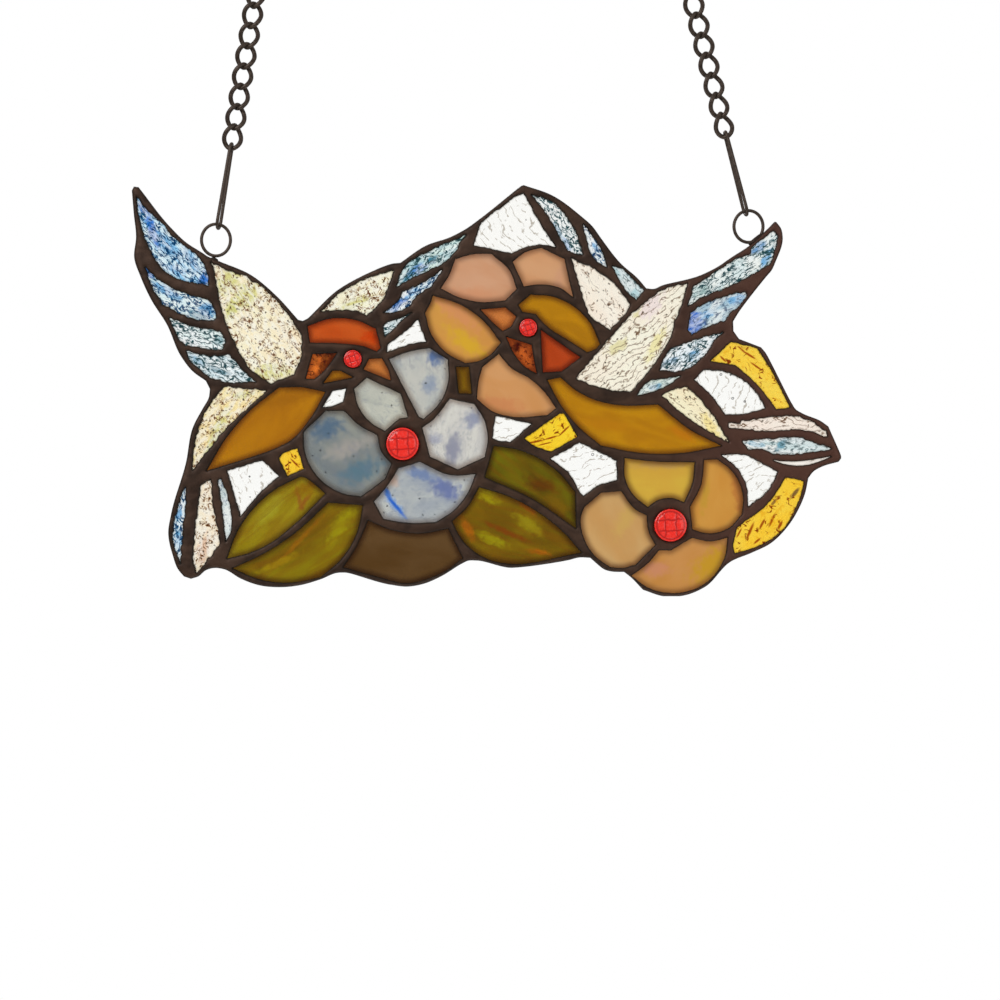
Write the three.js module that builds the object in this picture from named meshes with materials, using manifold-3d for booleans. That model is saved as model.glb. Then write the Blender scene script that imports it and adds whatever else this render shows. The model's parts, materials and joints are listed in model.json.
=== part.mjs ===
// Stained glass window panel: two hummingbirds at three flowers, held by soldered copper foil seams,
// hung from two short curb chains. Millimetres, X to the right, Z up, the front faces -Y.
import * as THREE from "three";
import { mergeVertices } from "three/addons/utils/BufferGeometryUtils.js";
import Module from "manifold-3d";

const wasm = await Module();
wasm.setup();

// The seams, seen from the edge: a web between the panes with an undercut lip before and behind them
const SOLDER_HALF_DEPTH = 2.75;
const GLASS_HALF_DEPTH = 1.5;
const FIT_GAP = 0.3;
const LIP = 1.1;
const LEAST_LIP = 0.35;
const LEAST_WEB = 0.7;
const ARC_SAG = 0.55;
const SHARPEST_OFFSET = 1.8;

// The four glass jewels
const JEWEL_SIDES = 10;
const FLOWER_JEWEL_RADIUS = 7.9;
const EYE_JEWEL_RADIUS = 4.2;
const JEWEL_RISE = 0.42;

// The rings, the wire hooks and the chains
const RING_WIRE = 0.725;
const RING_HALF_WIDTH = 7.25;
const RING_HALF_HEIGHT = 7.95;
const HOOK_WIRE = 0.75;
const HOOK_TOP_RADIUS = 2.5;
const HOOK_BOTTOM_RADIUS = 4.1;
const HOOK_BEND_STEPS = 6;
const HOOK_PLAY = 0.55;
const HOOK_TURN = (4 * Math.PI) / 180;
const LINK_WIRE = 1.15;
const LINK_HALF_LENGTH = 5.95;
const LINK_HALF_WIDTH = 4.3;
const LINK_TWIST = Math.PI / 4;
const LINK_COUNT = 9;
const WIRE_SIDES = 4;

// Each side's hanging line, from the ring up to the top link
const HANGERS = {
  left: { ring: [42.5, 178.5], firstLink: [50.9, 230], lastLink: [64, 311] },
  right: { ring: [308.75, 185.25], firstLink: [296.2, 235.85], lastLink: [276.5, 316] },
};

// Colours of the sheets the panes are cut from
const SHEETS = {
  blue_opal: 0x9fb7d8,
  aqua_opal: 0xc9dcd8,
  cream_opal: 0xe6d3b8,
  clear_seedy: 0xf4f4ef,
  red_orange: 0xb04a22,
  amber_brown: 0xa56a18,
  yellow_amber: 0xf6c23c,
  tan_pink: 0xc8926a,
  golden_tan: 0xc79a44,
  blue_grey: 0xb4bac4,
  olive_green: 0x78691c,
  dark_brown: 0x4b341c,
  ruby: 0xc01014,
};
const METALS = {
  solder: 0x3c302a,
  wire: 0x4a423c,
};

// An outline runs clockwise as seen from the front. Each point is [x, z] or [x, z, bow], and bow is how
// far the edge to the next point swells outward as an arc, inward where it is negative.
const RIM = [
  [0.5, 203.2, 1.3], [3.8, 204.9, -0.5], [20, 184.6, -1], [36, 171.9], [38.5, 170.2], [40.5, 169.4],
  [44.8, 167.6], [60, 161, 1.2], [83.6, 138.6, -0.8], [88, 139.1], [103.4, 153.5, 1.1], [131.4, 166.8],
  [134.7, 167.1], [147.5, 175.7], [160, 180.1, -0.6], [175, 189.5], [195.3, 205.6], [196.3, 205.9, 0.5],
  [210.3, 200.9], [225, 190.4, 0.8], [235.1, 179.2], [245, 166.6], [253.5, 159.1], [257.6, 154.3, -0.9],
  [265, 155.6], [285, 161, -0.6], [300, 169.7], [309, 175.6], [316.8, 182.7], [321.7, 187.6],
  [322.6, 187.4, 0.9], [325.8, 180], [322.2, 167.5, 0.6], [317.5, 160], [303.5, 141.8, -3], [304, 129],
  [315, 124.8], [317, 122.4], [330.3, 96.9, -0.8], [335.5, 91.9], [345.1, 87.8], [348.6, 85.3],
  [355, 70.3], [355, 69.3], [353.7, 67.6], [345.1, 65, -0.8], [338.6, 59.5, 0.7], [334, 44.5, 1.3],
  [320, 27, 0.5], [310, 22], [300, 17.8], [286.7, 4.9, 4.1], [256, 3.6], [249.4, 10.3], [246.5, 12.5],
  [240, 12.8], [237.5, 13.4], [229.5, 19.6, -0.7], [219, 18.5], [195, 14.9], [190, 14.6], [173, 18.2],
  [168.5, 18.1], [165.5, 16.7], [155, 10.3], [146, 6.5], [138, 5.2], [130, 6.1], [107, 12.2],
  [103.5, 12.1], [95, 8.9, 1], [74, 4.9, 1.2], [55.1, 9.1], [46.5, 13.9], [42, 14.5], [37.5, 13.4],
  [33.5, 10.2], [30, 9.1], [26.5, 10.3], [23.5, 14], [21, 20.7], [18.7, 32.3], [20.1, 41.3], [27.5, 67],
  [31.2, 85.3], [35.9, 94.2], [39, 99.9], [39.5, 104], [37.5, 108], [30.8, 112.9], [25.2, 120.1],
  [18, 136.2], [10, 148.9], [4.9, 160], [1.7, 169.5], [2.6, 180], [1.5, 191.3],
];

// The panes that are nodes of their own
const PANES = {
  left_wing_feather_1: ["blue_opal", [
    [2.9, 199.6], [9.4, 192], [15.5, 186.7], [21, 180], [30, 173.1, 2.7], [38.8, 155.6], [20, 160.8],
    [15.8, 164, 2.8],
  ]],
  left_wing_feather_2: ["blue_opal", [
    [7.2, 164.8], [10.7, 161.2], [18.7, 155.4], [38.7, 148.2, 0.8], [42.7, 139.6], [41, 138.4],
    [32.2, 138.8, 0.6], [15.9, 146.5, 0.9],
  ]],
  left_wing_feather_3: ["aqua_opal", [
    [19.6, 139.3], [29.9, 135.3], [44.3, 132.9], [47.2, 127.4], [45.3, 124], [41.1, 123.8], [27.6, 125.9],
    [24.8, 128.6], [20.9, 135.8],
  ]],
  left_wing_feather_4: ["aqua_opal", [
    [28, 122.9], [40, 120.3], [49.2, 120.9], [54.6, 114.6], [62.2, 107.6], [47.5, 107.7],
    [40, 109.5, 0.5], [29.6, 118.9],
  ]],
  left_wing: ["cream_opal", [
    [40, 167.4], [45, 164.6], [57.9, 160.5], [60.2, 158], [62.8, 157, 1.8], [85.2, 130.8, 1.9],
    [81.3, 111.5], [70.2, 106.7], [59.5, 113.8, 2.9], [42.3, 160], [42.1, 162.3],
  ]],
  left_crown: ["red_orange", [
    [88.3, 135.4, 4.6], [122.4, 134.1], [124.8, 124.4], [122.9, 122.8], [115.5, 125.6], [107, 126.6],
    [89.6, 127.2],
  ]],
  left_rear_wing: ["cream_opal", [
    [95, 142.7, 3], [127, 162], [131.3, 163], [128.2, 154.5], [125.3, 147.8], [117.9, 141.1],
    [112, 143.2], [104, 143.6],
  ]],
  left_rear_feather: ["aqua_opal", [
    [133, 155.4], [135.3, 163], [137, 165.6], [147, 171.8], [167, 180.6], [159.8, 170.2], [145, 161.5],
    [138, 158.1],
  ]],
  left_belly: ["amber_brown", [
    [38, 63.2, 3.7], [74, 104.7, 1.2], [97.2, 102.4, 1.4], [80.5, 78.8, 0.8], [60, 70],
  ]],
  left_side: ["cream_opal", [
    [46.5, 105.1], [67.6, 103.1, -2], [30.9, 63.3, 3.1], [42.2, 100],
  ]],
  left_tail_feather: ["cream_opal", [
    [35, 55.9], [40, 58.9], [40.5, 51], [44, 29.5], [44.2, 26], [32.8, 12.1], [31.7, 18], [32.2, 33],
    [34.4, 50],
  ]],
  clear_by_left_tail: ["clear_seedy", [
    [48.3, 63.2], [65.8, 68.2], [74.2, 60.3], [65, 52.6], [54.9, 40.6],
  ]],
  clear_top: ["clear_seedy", [
    [171.4, 175.8], [175.2, 187.3], [193.2, 200.4], [196.2, 201.7], [205, 185.7], [212.3, 175, -2.3],
    [190.3, 171.9],
  ]],
  upper_flower_left: ["tan_pink", [
    [155, 154.2], [159, 160.6], [162.2, 168.8, 1.2], [180.3, 171.4], [189.4, 162.8], [192.8, 154],
    [187, 148.2, 3.2],
  ]],
  upper_flower_right: ["tan_pink", [
    [190.9, 167.6], [197, 172.2], [205, 174.5], [216.6, 168.9], [219, 158], [221, 149.9],
    [214.5, 154.5], [204, 156.2], [196.4, 155.3],
  ]],
  upper_flower_lower: ["golden_tan", [
    [151, 150.6, 4.5], [184.8, 127.2, 2.8], [167.2, 116.9, 4.8], [147.1, 142], [149.8, 147],
  ]],
  upper_flower_bottom: ["tan_pink", [
    [183.8, 121.4], [190.4, 114.2, 2.4], [212.4, 94.4], [208, 90.9], [190, 90.2], [180.5, 93],
    [173, 99.2, 0.6], [175.6, 114.7],
  ]],
  right_crown: ["amber_brown", [
    [193.8, 146], [200, 151.2, 7.6], [234.4, 126.4], [232.5, 124], [228, 122.4], [219.5, 127.8],
    [206.4, 136.8], [202.4, 141.4], [195.7, 142.6],
  ]],
  right_throat: ["red_orange", [
    [204.9, 133.5], [224.6, 119.8], [215.2, 112.8], [206, 112.3],
  ]],
  right_belly: ["amber_brown", [
    [208.2, 108.4], [214.6, 109.7, -3.1], [245, 95.8], [263.5, 96.2], [279.9, 83.4], [295, 75.6, 4.1],
    [235, 75.8, 3],
  ]],
  right_side: ["cream_opal", [
    [265.6, 100.5], [269.5, 103], [278.2, 105.2, 1.4], [298.8, 77.5, 1.8],
  ]],
  right_wing: ["cream_opal", [
    [222.5, 109.2], [240, 129.8, 2.1], [269.5, 154.9], [278, 156.6], [274, 143], [271.8, 138],
    [270, 131], [265.2, 122.2], [250, 102.6, 1.7],
  ]],
  right_wing_feather_1: ["aqua_opal", [
    [278.4, 145.6], [281.6, 155.3], [303, 168.9], [309.2, 171.5], [310.3, 174.5], [321, 182.8],
    [323.3, 180.3], [321.2, 171.5], [319.8, 166.8, 1.1], [284, 149],
  ]],
  right_wing_feather_2: ["blue_opal", [
    [278.1, 133.5], [280, 141.8], [282.5, 144.1], [300, 151.1], [308.6, 152.7], [305.2, 146.6],
    [298.5, 141], [297, 138], [286.5, 134.7], [280.3, 130.9],
  ]],
  right_wing_feather_3: ["aqua_opal", [
    [264.6, 113.4], [265.2, 116], [270, 124.2], [284.8, 129.3], [296, 132.3], [292.8, 129.5],
    [287.6, 122.2], [280, 115.3], [274, 113.2],
  ]],
  right_rear_wing: ["cream_opal", [
    [220.4, 169.1], [230, 164.8], [240.3, 157.6], [249.3, 146.4], [248.8, 144.6], [239.6, 133.4],
    [229.8, 140.2], [228.4, 143], [224.6, 154.5],
  ]],
  right_rear_feather: ["aqua_opal", [
    [199.9, 201.1], [210, 197.6, 2.8], [225.8, 171], [218.6, 173], [204.8, 195.5],
  ]],
  right_tail_feather_1: ["cream_opal", [
    [298.4, 87], [304.7, 86.5], [305.2, 88], [326, 90.1], [333.5, 90], [347.5, 83], [347.9, 80.1],
    [336.5, 83.6], [322, 83.1], [299, 84.6],
  ]],
  right_tail_feather_2: ["aqua_opal", [
    [305.7, 78], [320, 79.1], [336, 79.3], [340, 77.6], [349.7, 74.2], [334.5, 71.8], [320.5, 72.1],
    [316.5, 73.4], [308.5, 73.9],
  ]],
  clear_right_upper: ["clear_seedy", [
    [281.8, 108.6], [286.2, 113.3], [295, 112.8, 3.7], [317, 94.4], [305.5, 91.4], [297.2, 91.3],
    [289.9, 101.1],
  ]],
  clear_right_lower: ["clear_seedy", [
    [295.4, 70.9], [303.5, 71.3], [323.3, 62.5, 2.2], [308.7, 45.5, -4.3],
  ]],
  clear_middle: ["clear_seedy", [
    [210, 69.1], [224.2, 77.1], [242.6, 68.1], [243, 58.8], [232.5, 55.3], [226.3, 50.9],
    [224.8, 52, -2.2],
  ]],
  amber_right_upper: ["yellow_amber", [
    [289.8, 117.9], [300.1, 127.5], [313, 124.3, 0.8], [329.2, 94.8], [322.6, 93.8, -1.4], [302, 116],
  ]],
  amber_right_lower: ["yellow_amber", [
    [327, 59.6], [330, 59.4], [336.3, 57.7], [334.8, 51.2], [330.1, 40.5, 1.2], [320, 29.2, 0.5],
    [310, 24.2], [302, 22.1], [301.2, 25], [303, 34.5], [307.7, 38.3], [315.2, 43.7], [322.2, 51.7],
  ]],
  yellow_centre: ["yellow_amber", [
    [197, 79.2], [204, 84.3], [214.4, 91.5], [216.2, 91.6], [223, 80.2], [210, 72.7], [199.8, 76.8],
  ]],
  blue_flower_left: ["blue_grey", [
    [86.4, 82.4], [97.5, 93], [106.5, 93, -1.3], [123.2, 80.8, -1.8], [130.2, 66.5], [126.8, 59],
    [115, 50.3, 9.5],
  ]],
  blue_flower_upper: ["blue_grey", [
    [111.6, 104], [117.9, 109.5], [134.8, 101.6], [138.4, 89.8], [134.3, 89.4], [127, 83, 3.8],
  ]],
  blue_flower_top: ["blue_grey", [
    [129.1, 118.9, 0.9], [149, 124.4], [158.4, 118.6, 4.9], [146.3, 89.1], [144, 90.2],
  ]],
  blue_flower_right: ["blue_grey", [
    [145.8, 84.7], [150.5, 88], [159.5, 99], [171.5, 96.4, 3.7], [176.9, 70.1], [163.4, 63.8],
    [149.6, 70.2],
  ]],
  blue_flower_bottom: ["blue_grey", [
    [121.7, 47.8], [128.6, 56], [133.8, 64.3], [144.3, 67.5], [160, 60.9], [172.2, 61.3, 3.4],
    [152.5, 37.5, 1.1], [126.3, 39],
  ]],
  gold_flower_top: ["golden_tan", [
    [246.8, 69.4], [262, 67.7], [281.7, 67.3, 1.5], [276.4, 47.5, -3.2], [258.2, 45.1, 4.4],
  ]],
  gold_flower_right: ["golden_tan", [
    [286.5, 68.5], [293, 68.7, 5.3], [305.2, 41.4], [299.5, 35, 2.5], [280.7, 33.9], [279.5, 45],
    [284.9, 55.5],
  ]],
  gold_flower_bottom: ["tan_pink", [
    [250.2, 10.7, -1], [264, 23.3], [269.9, 23.3], [280.5, 29.6, -1.8], [298.1, 29.6, 3.3],
    [286.5, 6.6, 6.5],
  ]],
  gold_flower_left: ["golden_tan", [
    [226.6, 44.8], [235, 52.1], [245, 52.9], [252, 43.9], [257.7, 40.7, -1.3], [262, 26], [252, 16.1],
    [245, 14.6], [239.5, 15, 4.2], [224.9, 39.5],
  ]],
  leaf_left_upper: ["olive_green", [
    [48.2, 19.3, 6.8], [84.8, 60.2], [87, 59.7], [97.2, 51.7], [80.1, 35, 2.7],
  ]],
  leaf_left_lower: ["olive_green", [
    [51, 14.3, -3.3], [98.6, 47.2], [115.9, 45.8, 4.9], [95, 10, 4.7],
  ]],
  leaf_right_upper: ["olive_green", [
    [177, 59.9], [181.5, 75.5, 5.6], [222, 52.5], [222.4, 34.4, -2.2],
  ]],
  leaf_right_lower: ["olive_green", [
    [160.7, 37.8, -1.5], [174.2, 54.9, 5.3], [225.2, 22.2], [190, 16.6, 5.7],
  ]],
  brown_between_leaves: ["dark_brown", [
    [106.2, 14.9, -1], [118.6, 38.2, -4.2], [158.6, 34.1], [165.8, 19.4, 2.4], [138, 6.9], [125, 9.7],
  ]],
};

// Small and thin panes that stay one solid with the seams around them, as a sheet set back in a window
const SMALL_PANES = {
  left_throat: [[87.5, 109.1], [90.9, 121.4], [103, 121.9], [96, 112.5], [91.7, 109.1]],
  left_cheek: [[96.2, 106.9], [100.8, 113.1], [104.6, 113.1], [111, 109.8]],
  left_beak: [
    [116.4, 113.8], [119.1, 119], [125.4, 119.3], [129, 112.5], [129.9, 108.2],
  ],
  left_rear_feather_2: [
    [126.3, 142.1], [133, 147.6], [136, 152.4], [141, 154.6], [149.9, 159.6], [155.3, 163.3],
    [149.5, 155], [143, 150.4], [140.6, 147.2], [132.5, 142.6],
  ],
  left_rear_feather_3: [
    [127, 130.2], [126.2, 135.2], [128.5, 137.6], [134.5, 139.1], [142.4, 143.5], [135.2, 138.2],
    [131.7, 134.6],
  ],
  left_tail_feather_1: [
    [27.7, 56.3], [27.6, 50], [25.8, 33], [24.9, 16.5], [21.3, 27], [22, 38.5], [25, 49.5],
  ],
  left_tail_feather_3: [
    [43.8, 58.3], [45.1, 59.3], [48.2, 50.5], [49.8, 43.5], [49.8, 33], [47.6, 28.2], [46.2, 40],
    [44.3, 54],
  ],
  clear_diamond: [[95.8, 94.9], [101, 102.9], [107.5, 104.1], [106, 97.6], [99.9, 95.3]],
  clear_by_left_rear_wing: [
    [128, 122.4], [128.8, 126.3], [140.3, 135.4], [143.6, 138.7], [145.3, 133], [147.5, 127.6],
    [140, 126.7], [134, 124.8],
  ],
  amber_bit: [[74.1, 69.4], [76, 71.5], [83.2, 74.3], [86.3, 64.2], [78.3, 60.6]],
  olive_bit: [[162.5, 115], [168.9, 115], [170.3, 101.6], [164, 101.8]],
  right_beak: [
    [174.8, 143.7], [187.2, 144.7], [192.6, 140.1], [190, 135.2], [185.8, 133], [180, 138.2],
  ],
  right_chin: [
    [187.7, 130], [200.2, 126], [201.4, 118.5], [202.8, 111.7], [197.2, 115], [190.5, 123.7],
  ],
  right_wing_feather_4: [
    [253.2, 100.9], [256.6, 105.8], [260, 108.3], [274.5, 110.3], [268.5, 106.2], [262, 103.1],
  ],
  right_rear_feather_2: [
    [225.4, 187.6], [229.5, 182], [234.6, 174], [236.3, 170.5], [237.8, 164.9], [232.5, 168.3],
    [229.8, 172], [228.5, 176.5],
  ],
  right_rear_feather_3: [
    [240.6, 165.2], [246, 163.8], [250.2, 159.3], [256.1, 153.3], [252.6, 148.7], [249, 151.8],
    [244.5, 158.2],
  ],
  right_tail_feather_3: [
    [319.7, 68.8], [325.5, 67.9], [335, 67.9], [349.8, 70.2], [341.5, 66.9], [334.5, 65.7],
    [326.5, 66.5],
  ],
  clear_centre: [
    [180.8, 79.5], [182.5, 90], [184, 90.1], [199.9, 86.4], [189.8, 77.7], [183, 78.5],
  ],
};

const JEWELS = {
  left_eye_jewel: { centre: [111, 118.9], radius: EYE_JEWEL_RADIUS },
  right_eye_jewel: { centre: [198.6, 134.5], radius: EYE_JEWEL_RADIUS },
  blue_flower_jewel: { centre: [135.9, 76.5], radius: FLOWER_JEWEL_RADIUS },
  gold_flower_jewel: { centre: [269.5, 35.9], radius: FLOWER_JEWEL_RADIUS },
};

// The outline's corners with its arcs broken into short chords
function traced(outline) {
  const points = [];
  outline.forEach(([x, z, bow = 0], i) => {
    const [nextX, nextZ] = outline[(i + 1) % outline.length];
    points.push([x, z]);
    if (!bow) return;
    const chord = Math.hypot(nextX - x, nextZ - z);
    const alongX = (nextX - x) / chord;
    const alongZ = (nextZ - z) / chord;
    const half = 2 * Math.atan((2 * bow) / chord);
    const radius = chord / (2 * Math.sin(half));
    const steps = Math.ceil(Math.sqrt(Math.abs(bow) / ARC_SAG));
    for (let k = 1; k < steps; k++) {
      const angle = half * ((2 * k) / steps - 1);
      const along = chord / 2 + radius * Math.sin(angle);
      const out = radius * (Math.cos(angle) - Math.cos(half));
      points.push([x + alongX * along - alongZ * out, z + alongZ * along + alongX * out]);
    }
  });
  return points;
}

function circle([x, z], radius) {
  return Array.from({ length: JEWEL_SIDES }, (_, i) => {
    const angle = (2 * Math.PI * i) / JEWEL_SIDES;
    return [x + radius * Math.sin(angle), z + radius * Math.cos(angle)];
  });
}

function distanceToEdge([x, z], [ax, az], [bx, bz]) {
  const lengthSquared = (bx - ax) ** 2 + (bz - az) ** 2;
  const t = Math.min(1, Math.max(0, ((x - ax) * (bx - ax) + (z - az) * (bz - az)) / lengthSquared));
  return Math.hypot(x - ax - t * (bx - ax), z - az - t * (bz - az));
}

function clearance(point, loops) {
  let least = Infinity;
  for (const loop of loops) {
    loop.forEach((corner, i) => {
      least = Math.min(least, distanceToEdge(point, corner, loop[(i + 1) % loop.length]));
    });
  }
  return least;
}

// The loop moved outward, by an amount that may differ from corner to corner
function grown(loop, amountAt) {
  return loop.map((point, i) => {
    const before = loop[(i + loop.length - 1) % loop.length];
    const after = loop[(i + 1) % loop.length];
    const inEdge = new THREE.Vector2(point[0] - before[0], point[1] - before[1]).normalize();
    const outEdge = new THREE.Vector2(after[0] - point[0], after[1] - point[1]).normalize();
    const normal = new THREE.Vector2(-inEdge.y - outEdge.y, inEdge.x + outEdge.x).normalize();
    const slant = Math.max(normal.x * -inEdge.y + normal.y * inEdge.x, 1 / SHARPEST_OFFSET);
    const move = amountAt(point) / slant;
    return [point[0] + normal.x * move, point[1] + normal.y * move];
  });
}

// Collects triangles, each turned the way its caller asks for
class Faces {
  constructor() {
    this.corners = [];
  }

  triangle(a, b, c, flip) {
    this.corners.push(...a, ...(flip ? c : b), ...(flip ? b : c));
  }

  quad(a, b, c, d, flip) {
    this.triangle(a, b, c, flip);
    this.triangle(a, c, d, flip);
  }

  // The band from one loop at y0 back to another of equal count at y1, facing out of the loops or in
  band(front, y0, back, y1, inward) {
    front.forEach(([x, z], i) => {
      const next = (i + 1) % front.length;
      const far = [front[next][0], y0, front[next][1]];
      const farBack = [back[next][0], y1, back[next][1]];
      this.quad([x, y0, z], far, farBack, [back[i][0], y1, back[i][1]], inward);
    });
  }

  // The flat area within a loop, less its holes
  area(loop, holes, y, toBack) {
    const flat = (list) => list.map(([x, z]) => new THREE.Vector2(x, z));
    const contour = flat(loop).reverse();
    const inner = holes.map(flat);
    const all = contour.concat(...inner);
    for (const [i, j, k] of THREE.ShapeUtils.triangulateShape(contour, inner)) {
      const [a, b, c] = [i, j, k].map((n) => [all[n].x, y, all[n].y]);
      const turn = (b[0] - a[0]) * (c[2] - a[2]) - (b[2] - a[2]) * (c[0] - a[0]);
      this.triangle(a, b, c, turn < 0 !== toBack);
    }
  }

  geometry() {
    const geometry = new THREE.BufferGeometry();
    geometry.setAttribute("position", new THREE.Float32BufferAttribute(this.corners, 3));
    return geometry;
  }
}

function prism(loop, y0, y1) {
  const faces = new Faces();
  faces.area(loop, [], y0, false);
  faces.area(loop, [], y1, true);
  faces.band(loop, y0, loop, y1, false);
  return faces.geometry();
}

// A closed wire loop through the points, with its section's first corner pointing away from the middle
function wireLoop(points, radius, sides) {
  const middle = new THREE.Vector3();
  points.forEach((point) => middle.addScaledVector(point, 1 / points.length));
  const rings = points.map((point, i) => {
    const before = points[(i + points.length - 1) % points.length];
    const tangent = points[(i + 1) % points.length].clone().sub(before).normalize();
    const out = point.clone().sub(middle).projectOnPlane(tangent).normalize();
    const across = tangent.clone().cross(out);
    return Array.from({ length: sides }, (_, k) => {
      const angle = (2 * Math.PI * k) / sides;
      const rim = point.clone().addScaledVector(out, radius * Math.cos(angle));
      return rim.addScaledVector(across, radius * Math.sin(angle)).toArray();
    });
  });
  const faces = new Faces();
  rings.forEach((ring, i) => {
    const following = rings[(i + 1) % rings.length];
    ring.forEach((corner, k) => {
      const next = (k + 1) % sides;
      faces.quad(corner, ring[next], following[next], following[k], false);
    });
  });
  return faces.geometry();
}

// Joins and cuts closed meshes
function solid(geometry) {
  const bare = geometry.index ? geometry.toNonIndexed() : geometry.clone();
  bare.deleteAttribute("normal");
  bare.deleteAttribute("uv");
  const merged = mergeVertices(bare, 1e-4);
  return new wasm.Manifold(
    new wasm.Mesh({
      numProp: 3,
      vertProperties: merged.attributes.position.array,
      triVerts: new Uint32Array(merged.index.array),
    }),
  );
}

function fromSolid(body) {
  const { vertProperties, triVerts } = body.getMesh();
  const geometry = new THREE.BufferGeometry();
  geometry.setAttribute("position", new THREE.BufferAttribute(vertProperties, 3));
  geometry.setIndex(new THREE.BufferAttribute(triVerts, 1));
  return geometry;
}

// The windows of the seams, each with the groove behind its lip that holds the pane's edge
const rim = traced(RIM);
const windows = {};
for (const [name, [, outline]] of Object.entries(PANES)) windows[name] = traced(outline);
for (const [name, { centre, radius }] of Object.entries(JEWELS)) windows[name] = circle(centre, radius);
const smallWindows = Object.values(SMALL_PANES).map((outline) => traced(outline));

function grooveOf(name) {
  const others = Object.keys(windows)
    .filter((other) => other !== name)
    .map((other) => windows[other]);
  const around = [rim, ...others, ...smallWindows];
  const lipAt = (point) =>
    Math.max(LEAST_LIP, Math.min(LIP, (clearance(point, around) - LEAST_WEB) / 2));
  return grown(windows[name], lipAt);
}

const grooves = {};
for (const name of Object.keys(windows)) grooves[name] = grooveOf(name);

// The pane's own edge, a fit gap short of the groove's floor
function paneEdge(name) {
  const share = 1 - FIT_GAP / LIP;
  return windows[name].map(([x, z], i) => [
    x + share * (grooves[name][i][0] - x),
    z + share * (grooves[name][i][1] - z),
  ]);
}

function seams() {
  const grooveHalf = GLASS_HALF_DEPTH + FIT_GAP;
  const holes = [...Object.values(windows), ...smallWindows];
  const faces = new Faces();
  faces.area(rim, holes, -SOLDER_HALF_DEPTH, false);
  faces.area(rim, holes, SOLDER_HALF_DEPTH, true);
  faces.band(rim, -SOLDER_HALF_DEPTH, rim, SOLDER_HALF_DEPTH, false);
  for (const [name, window] of Object.entries(windows)) {
    faces.band(window, -SOLDER_HALF_DEPTH, grooves[name], -grooveHalf, true);
    faces.band(grooves[name], -grooveHalf, grooves[name], grooveHalf, true);
    faces.band(grooves[name], grooveHalf, window, SOLDER_HALF_DEPTH, true);
  }
  for (const window of smallWindows) {
    faces.band(window, -SOLDER_HALF_DEPTH, window, -GLASS_HALF_DEPTH, true);
    faces.area(window, [], -GLASS_HALF_DEPTH, false);
    faces.area(window, [], GLASS_HALF_DEPTH, true);
    faces.band(window, GLASS_HALF_DEPTH, window, SOLDER_HALF_DEPTH, true);
  }
  return faces.geometry();
}

// A pressed jewel: a flange held by the groove, and a facetted dome with a flat table in front
function jewel(centre, radius) {
  const flange = radius + LIP - FIT_GAP;
  const body = radius - FIT_GAP;
  const rise = JEWEL_RISE * radius;
  const profile = [
    [0, GLASS_HALF_DEPTH],
    [flange, GLASS_HALF_DEPTH],
    [flange, -GLASS_HALF_DEPTH],
    [body, -GLASS_HALF_DEPTH],
    [body, -SOLDER_HALF_DEPTH],
    [0.78 * body, -SOLDER_HALF_DEPTH - 0.65 * rise],
    [0.42 * body, -SOLDER_HALF_DEPTH - rise],
    [0, -SOLDER_HALF_DEPTH - rise],
  ];
  const points = profile.map(([r, y]) => new THREE.Vector2(r, y)).reverse();
  return new THREE.LatheGeometry(points, JEWEL_SIDES).translate(centre[0], 0, centre[1]);
}

// A soldered ring, cut short where the rim's solder has swallowed its wire
function ring([x, z]) {
  const count = 14;
  const points = Array.from({ length: count }, (_, i) => {
    const angle = (2 * Math.PI * i) / count;
    return new THREE.Vector3(
      x + RING_HALF_WIDTH * Math.cos(angle),
      0,
      z + RING_HALF_HEIGHT * Math.sin(angle),
    );
  });
  const depth = SOLDER_HALF_DEPTH + FIT_GAP;
  const swallowed = prism(grown(rim, () => FIT_GAP), -depth, depth);
  return fromSolid(solid(wireLoop(points, RING_WIRE, WIRE_SIDES)).subtract(solid(swallowed)));
}

// A long closed loop of wire from the ring to the first link, wider below. It lies across the picture,
// turned a little away from the panel's middle.
function hook({ ring: [ringX, ringZ], firstLink, lastLink }) {
  const up = new THREE.Vector2(lastLink[0] - firstLink[0], lastLink[1] - firstLink[1]).normalize();
  const reach = LINK_HALF_LENGTH - LINK_WIRE - HOOK_WIRE - HOOK_PLAY;
  const top = new THREE.Vector2(...firstLink).addScaledVector(up, -reach);
  const bottom = new THREE.Vector2(ringX, ringZ + RING_HALF_HEIGHT - RING_WIRE - HOOK_WIRE - HOOK_PLAY);
  bottom.x += Math.sign(top.x - bottom.x);
  const length = top.distanceTo(bottom);
  const along = top.clone().sub(bottom).divideScalar(length);
  const turn = HOOK_TURN * Math.sign(top.x - bottom.x);
  const bends = [
    { radius: HOOK_TOP_RADIUS, centre: length - HOOK_TOP_RADIUS, start: 0 },
    { radius: HOOK_BOTTOM_RADIUS, centre: HOOK_BOTTOM_RADIUS, start: Math.PI },
  ];
  const points = [];
  for (const { radius, centre, start } of bends) {
    for (let i = 0; i <= HOOK_BEND_STEPS; i++) {
      const angle = start + (Math.PI * i) / HOOK_BEND_STEPS;
      const depth = radius * Math.cos(angle);
      const rise = centre + radius * Math.sin(angle);
      const side = depth * Math.sin(turn);
      points.push(
        new THREE.Vector3(
          bottom.x + along.x * rise + along.y * side,
          depth * Math.cos(turn),
          bottom.y + along.y * rise - along.x * side,
        ),
      );
    }
  }
  return wireLoop(points, HOOK_WIRE, WIRE_SIDES);
}

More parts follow.
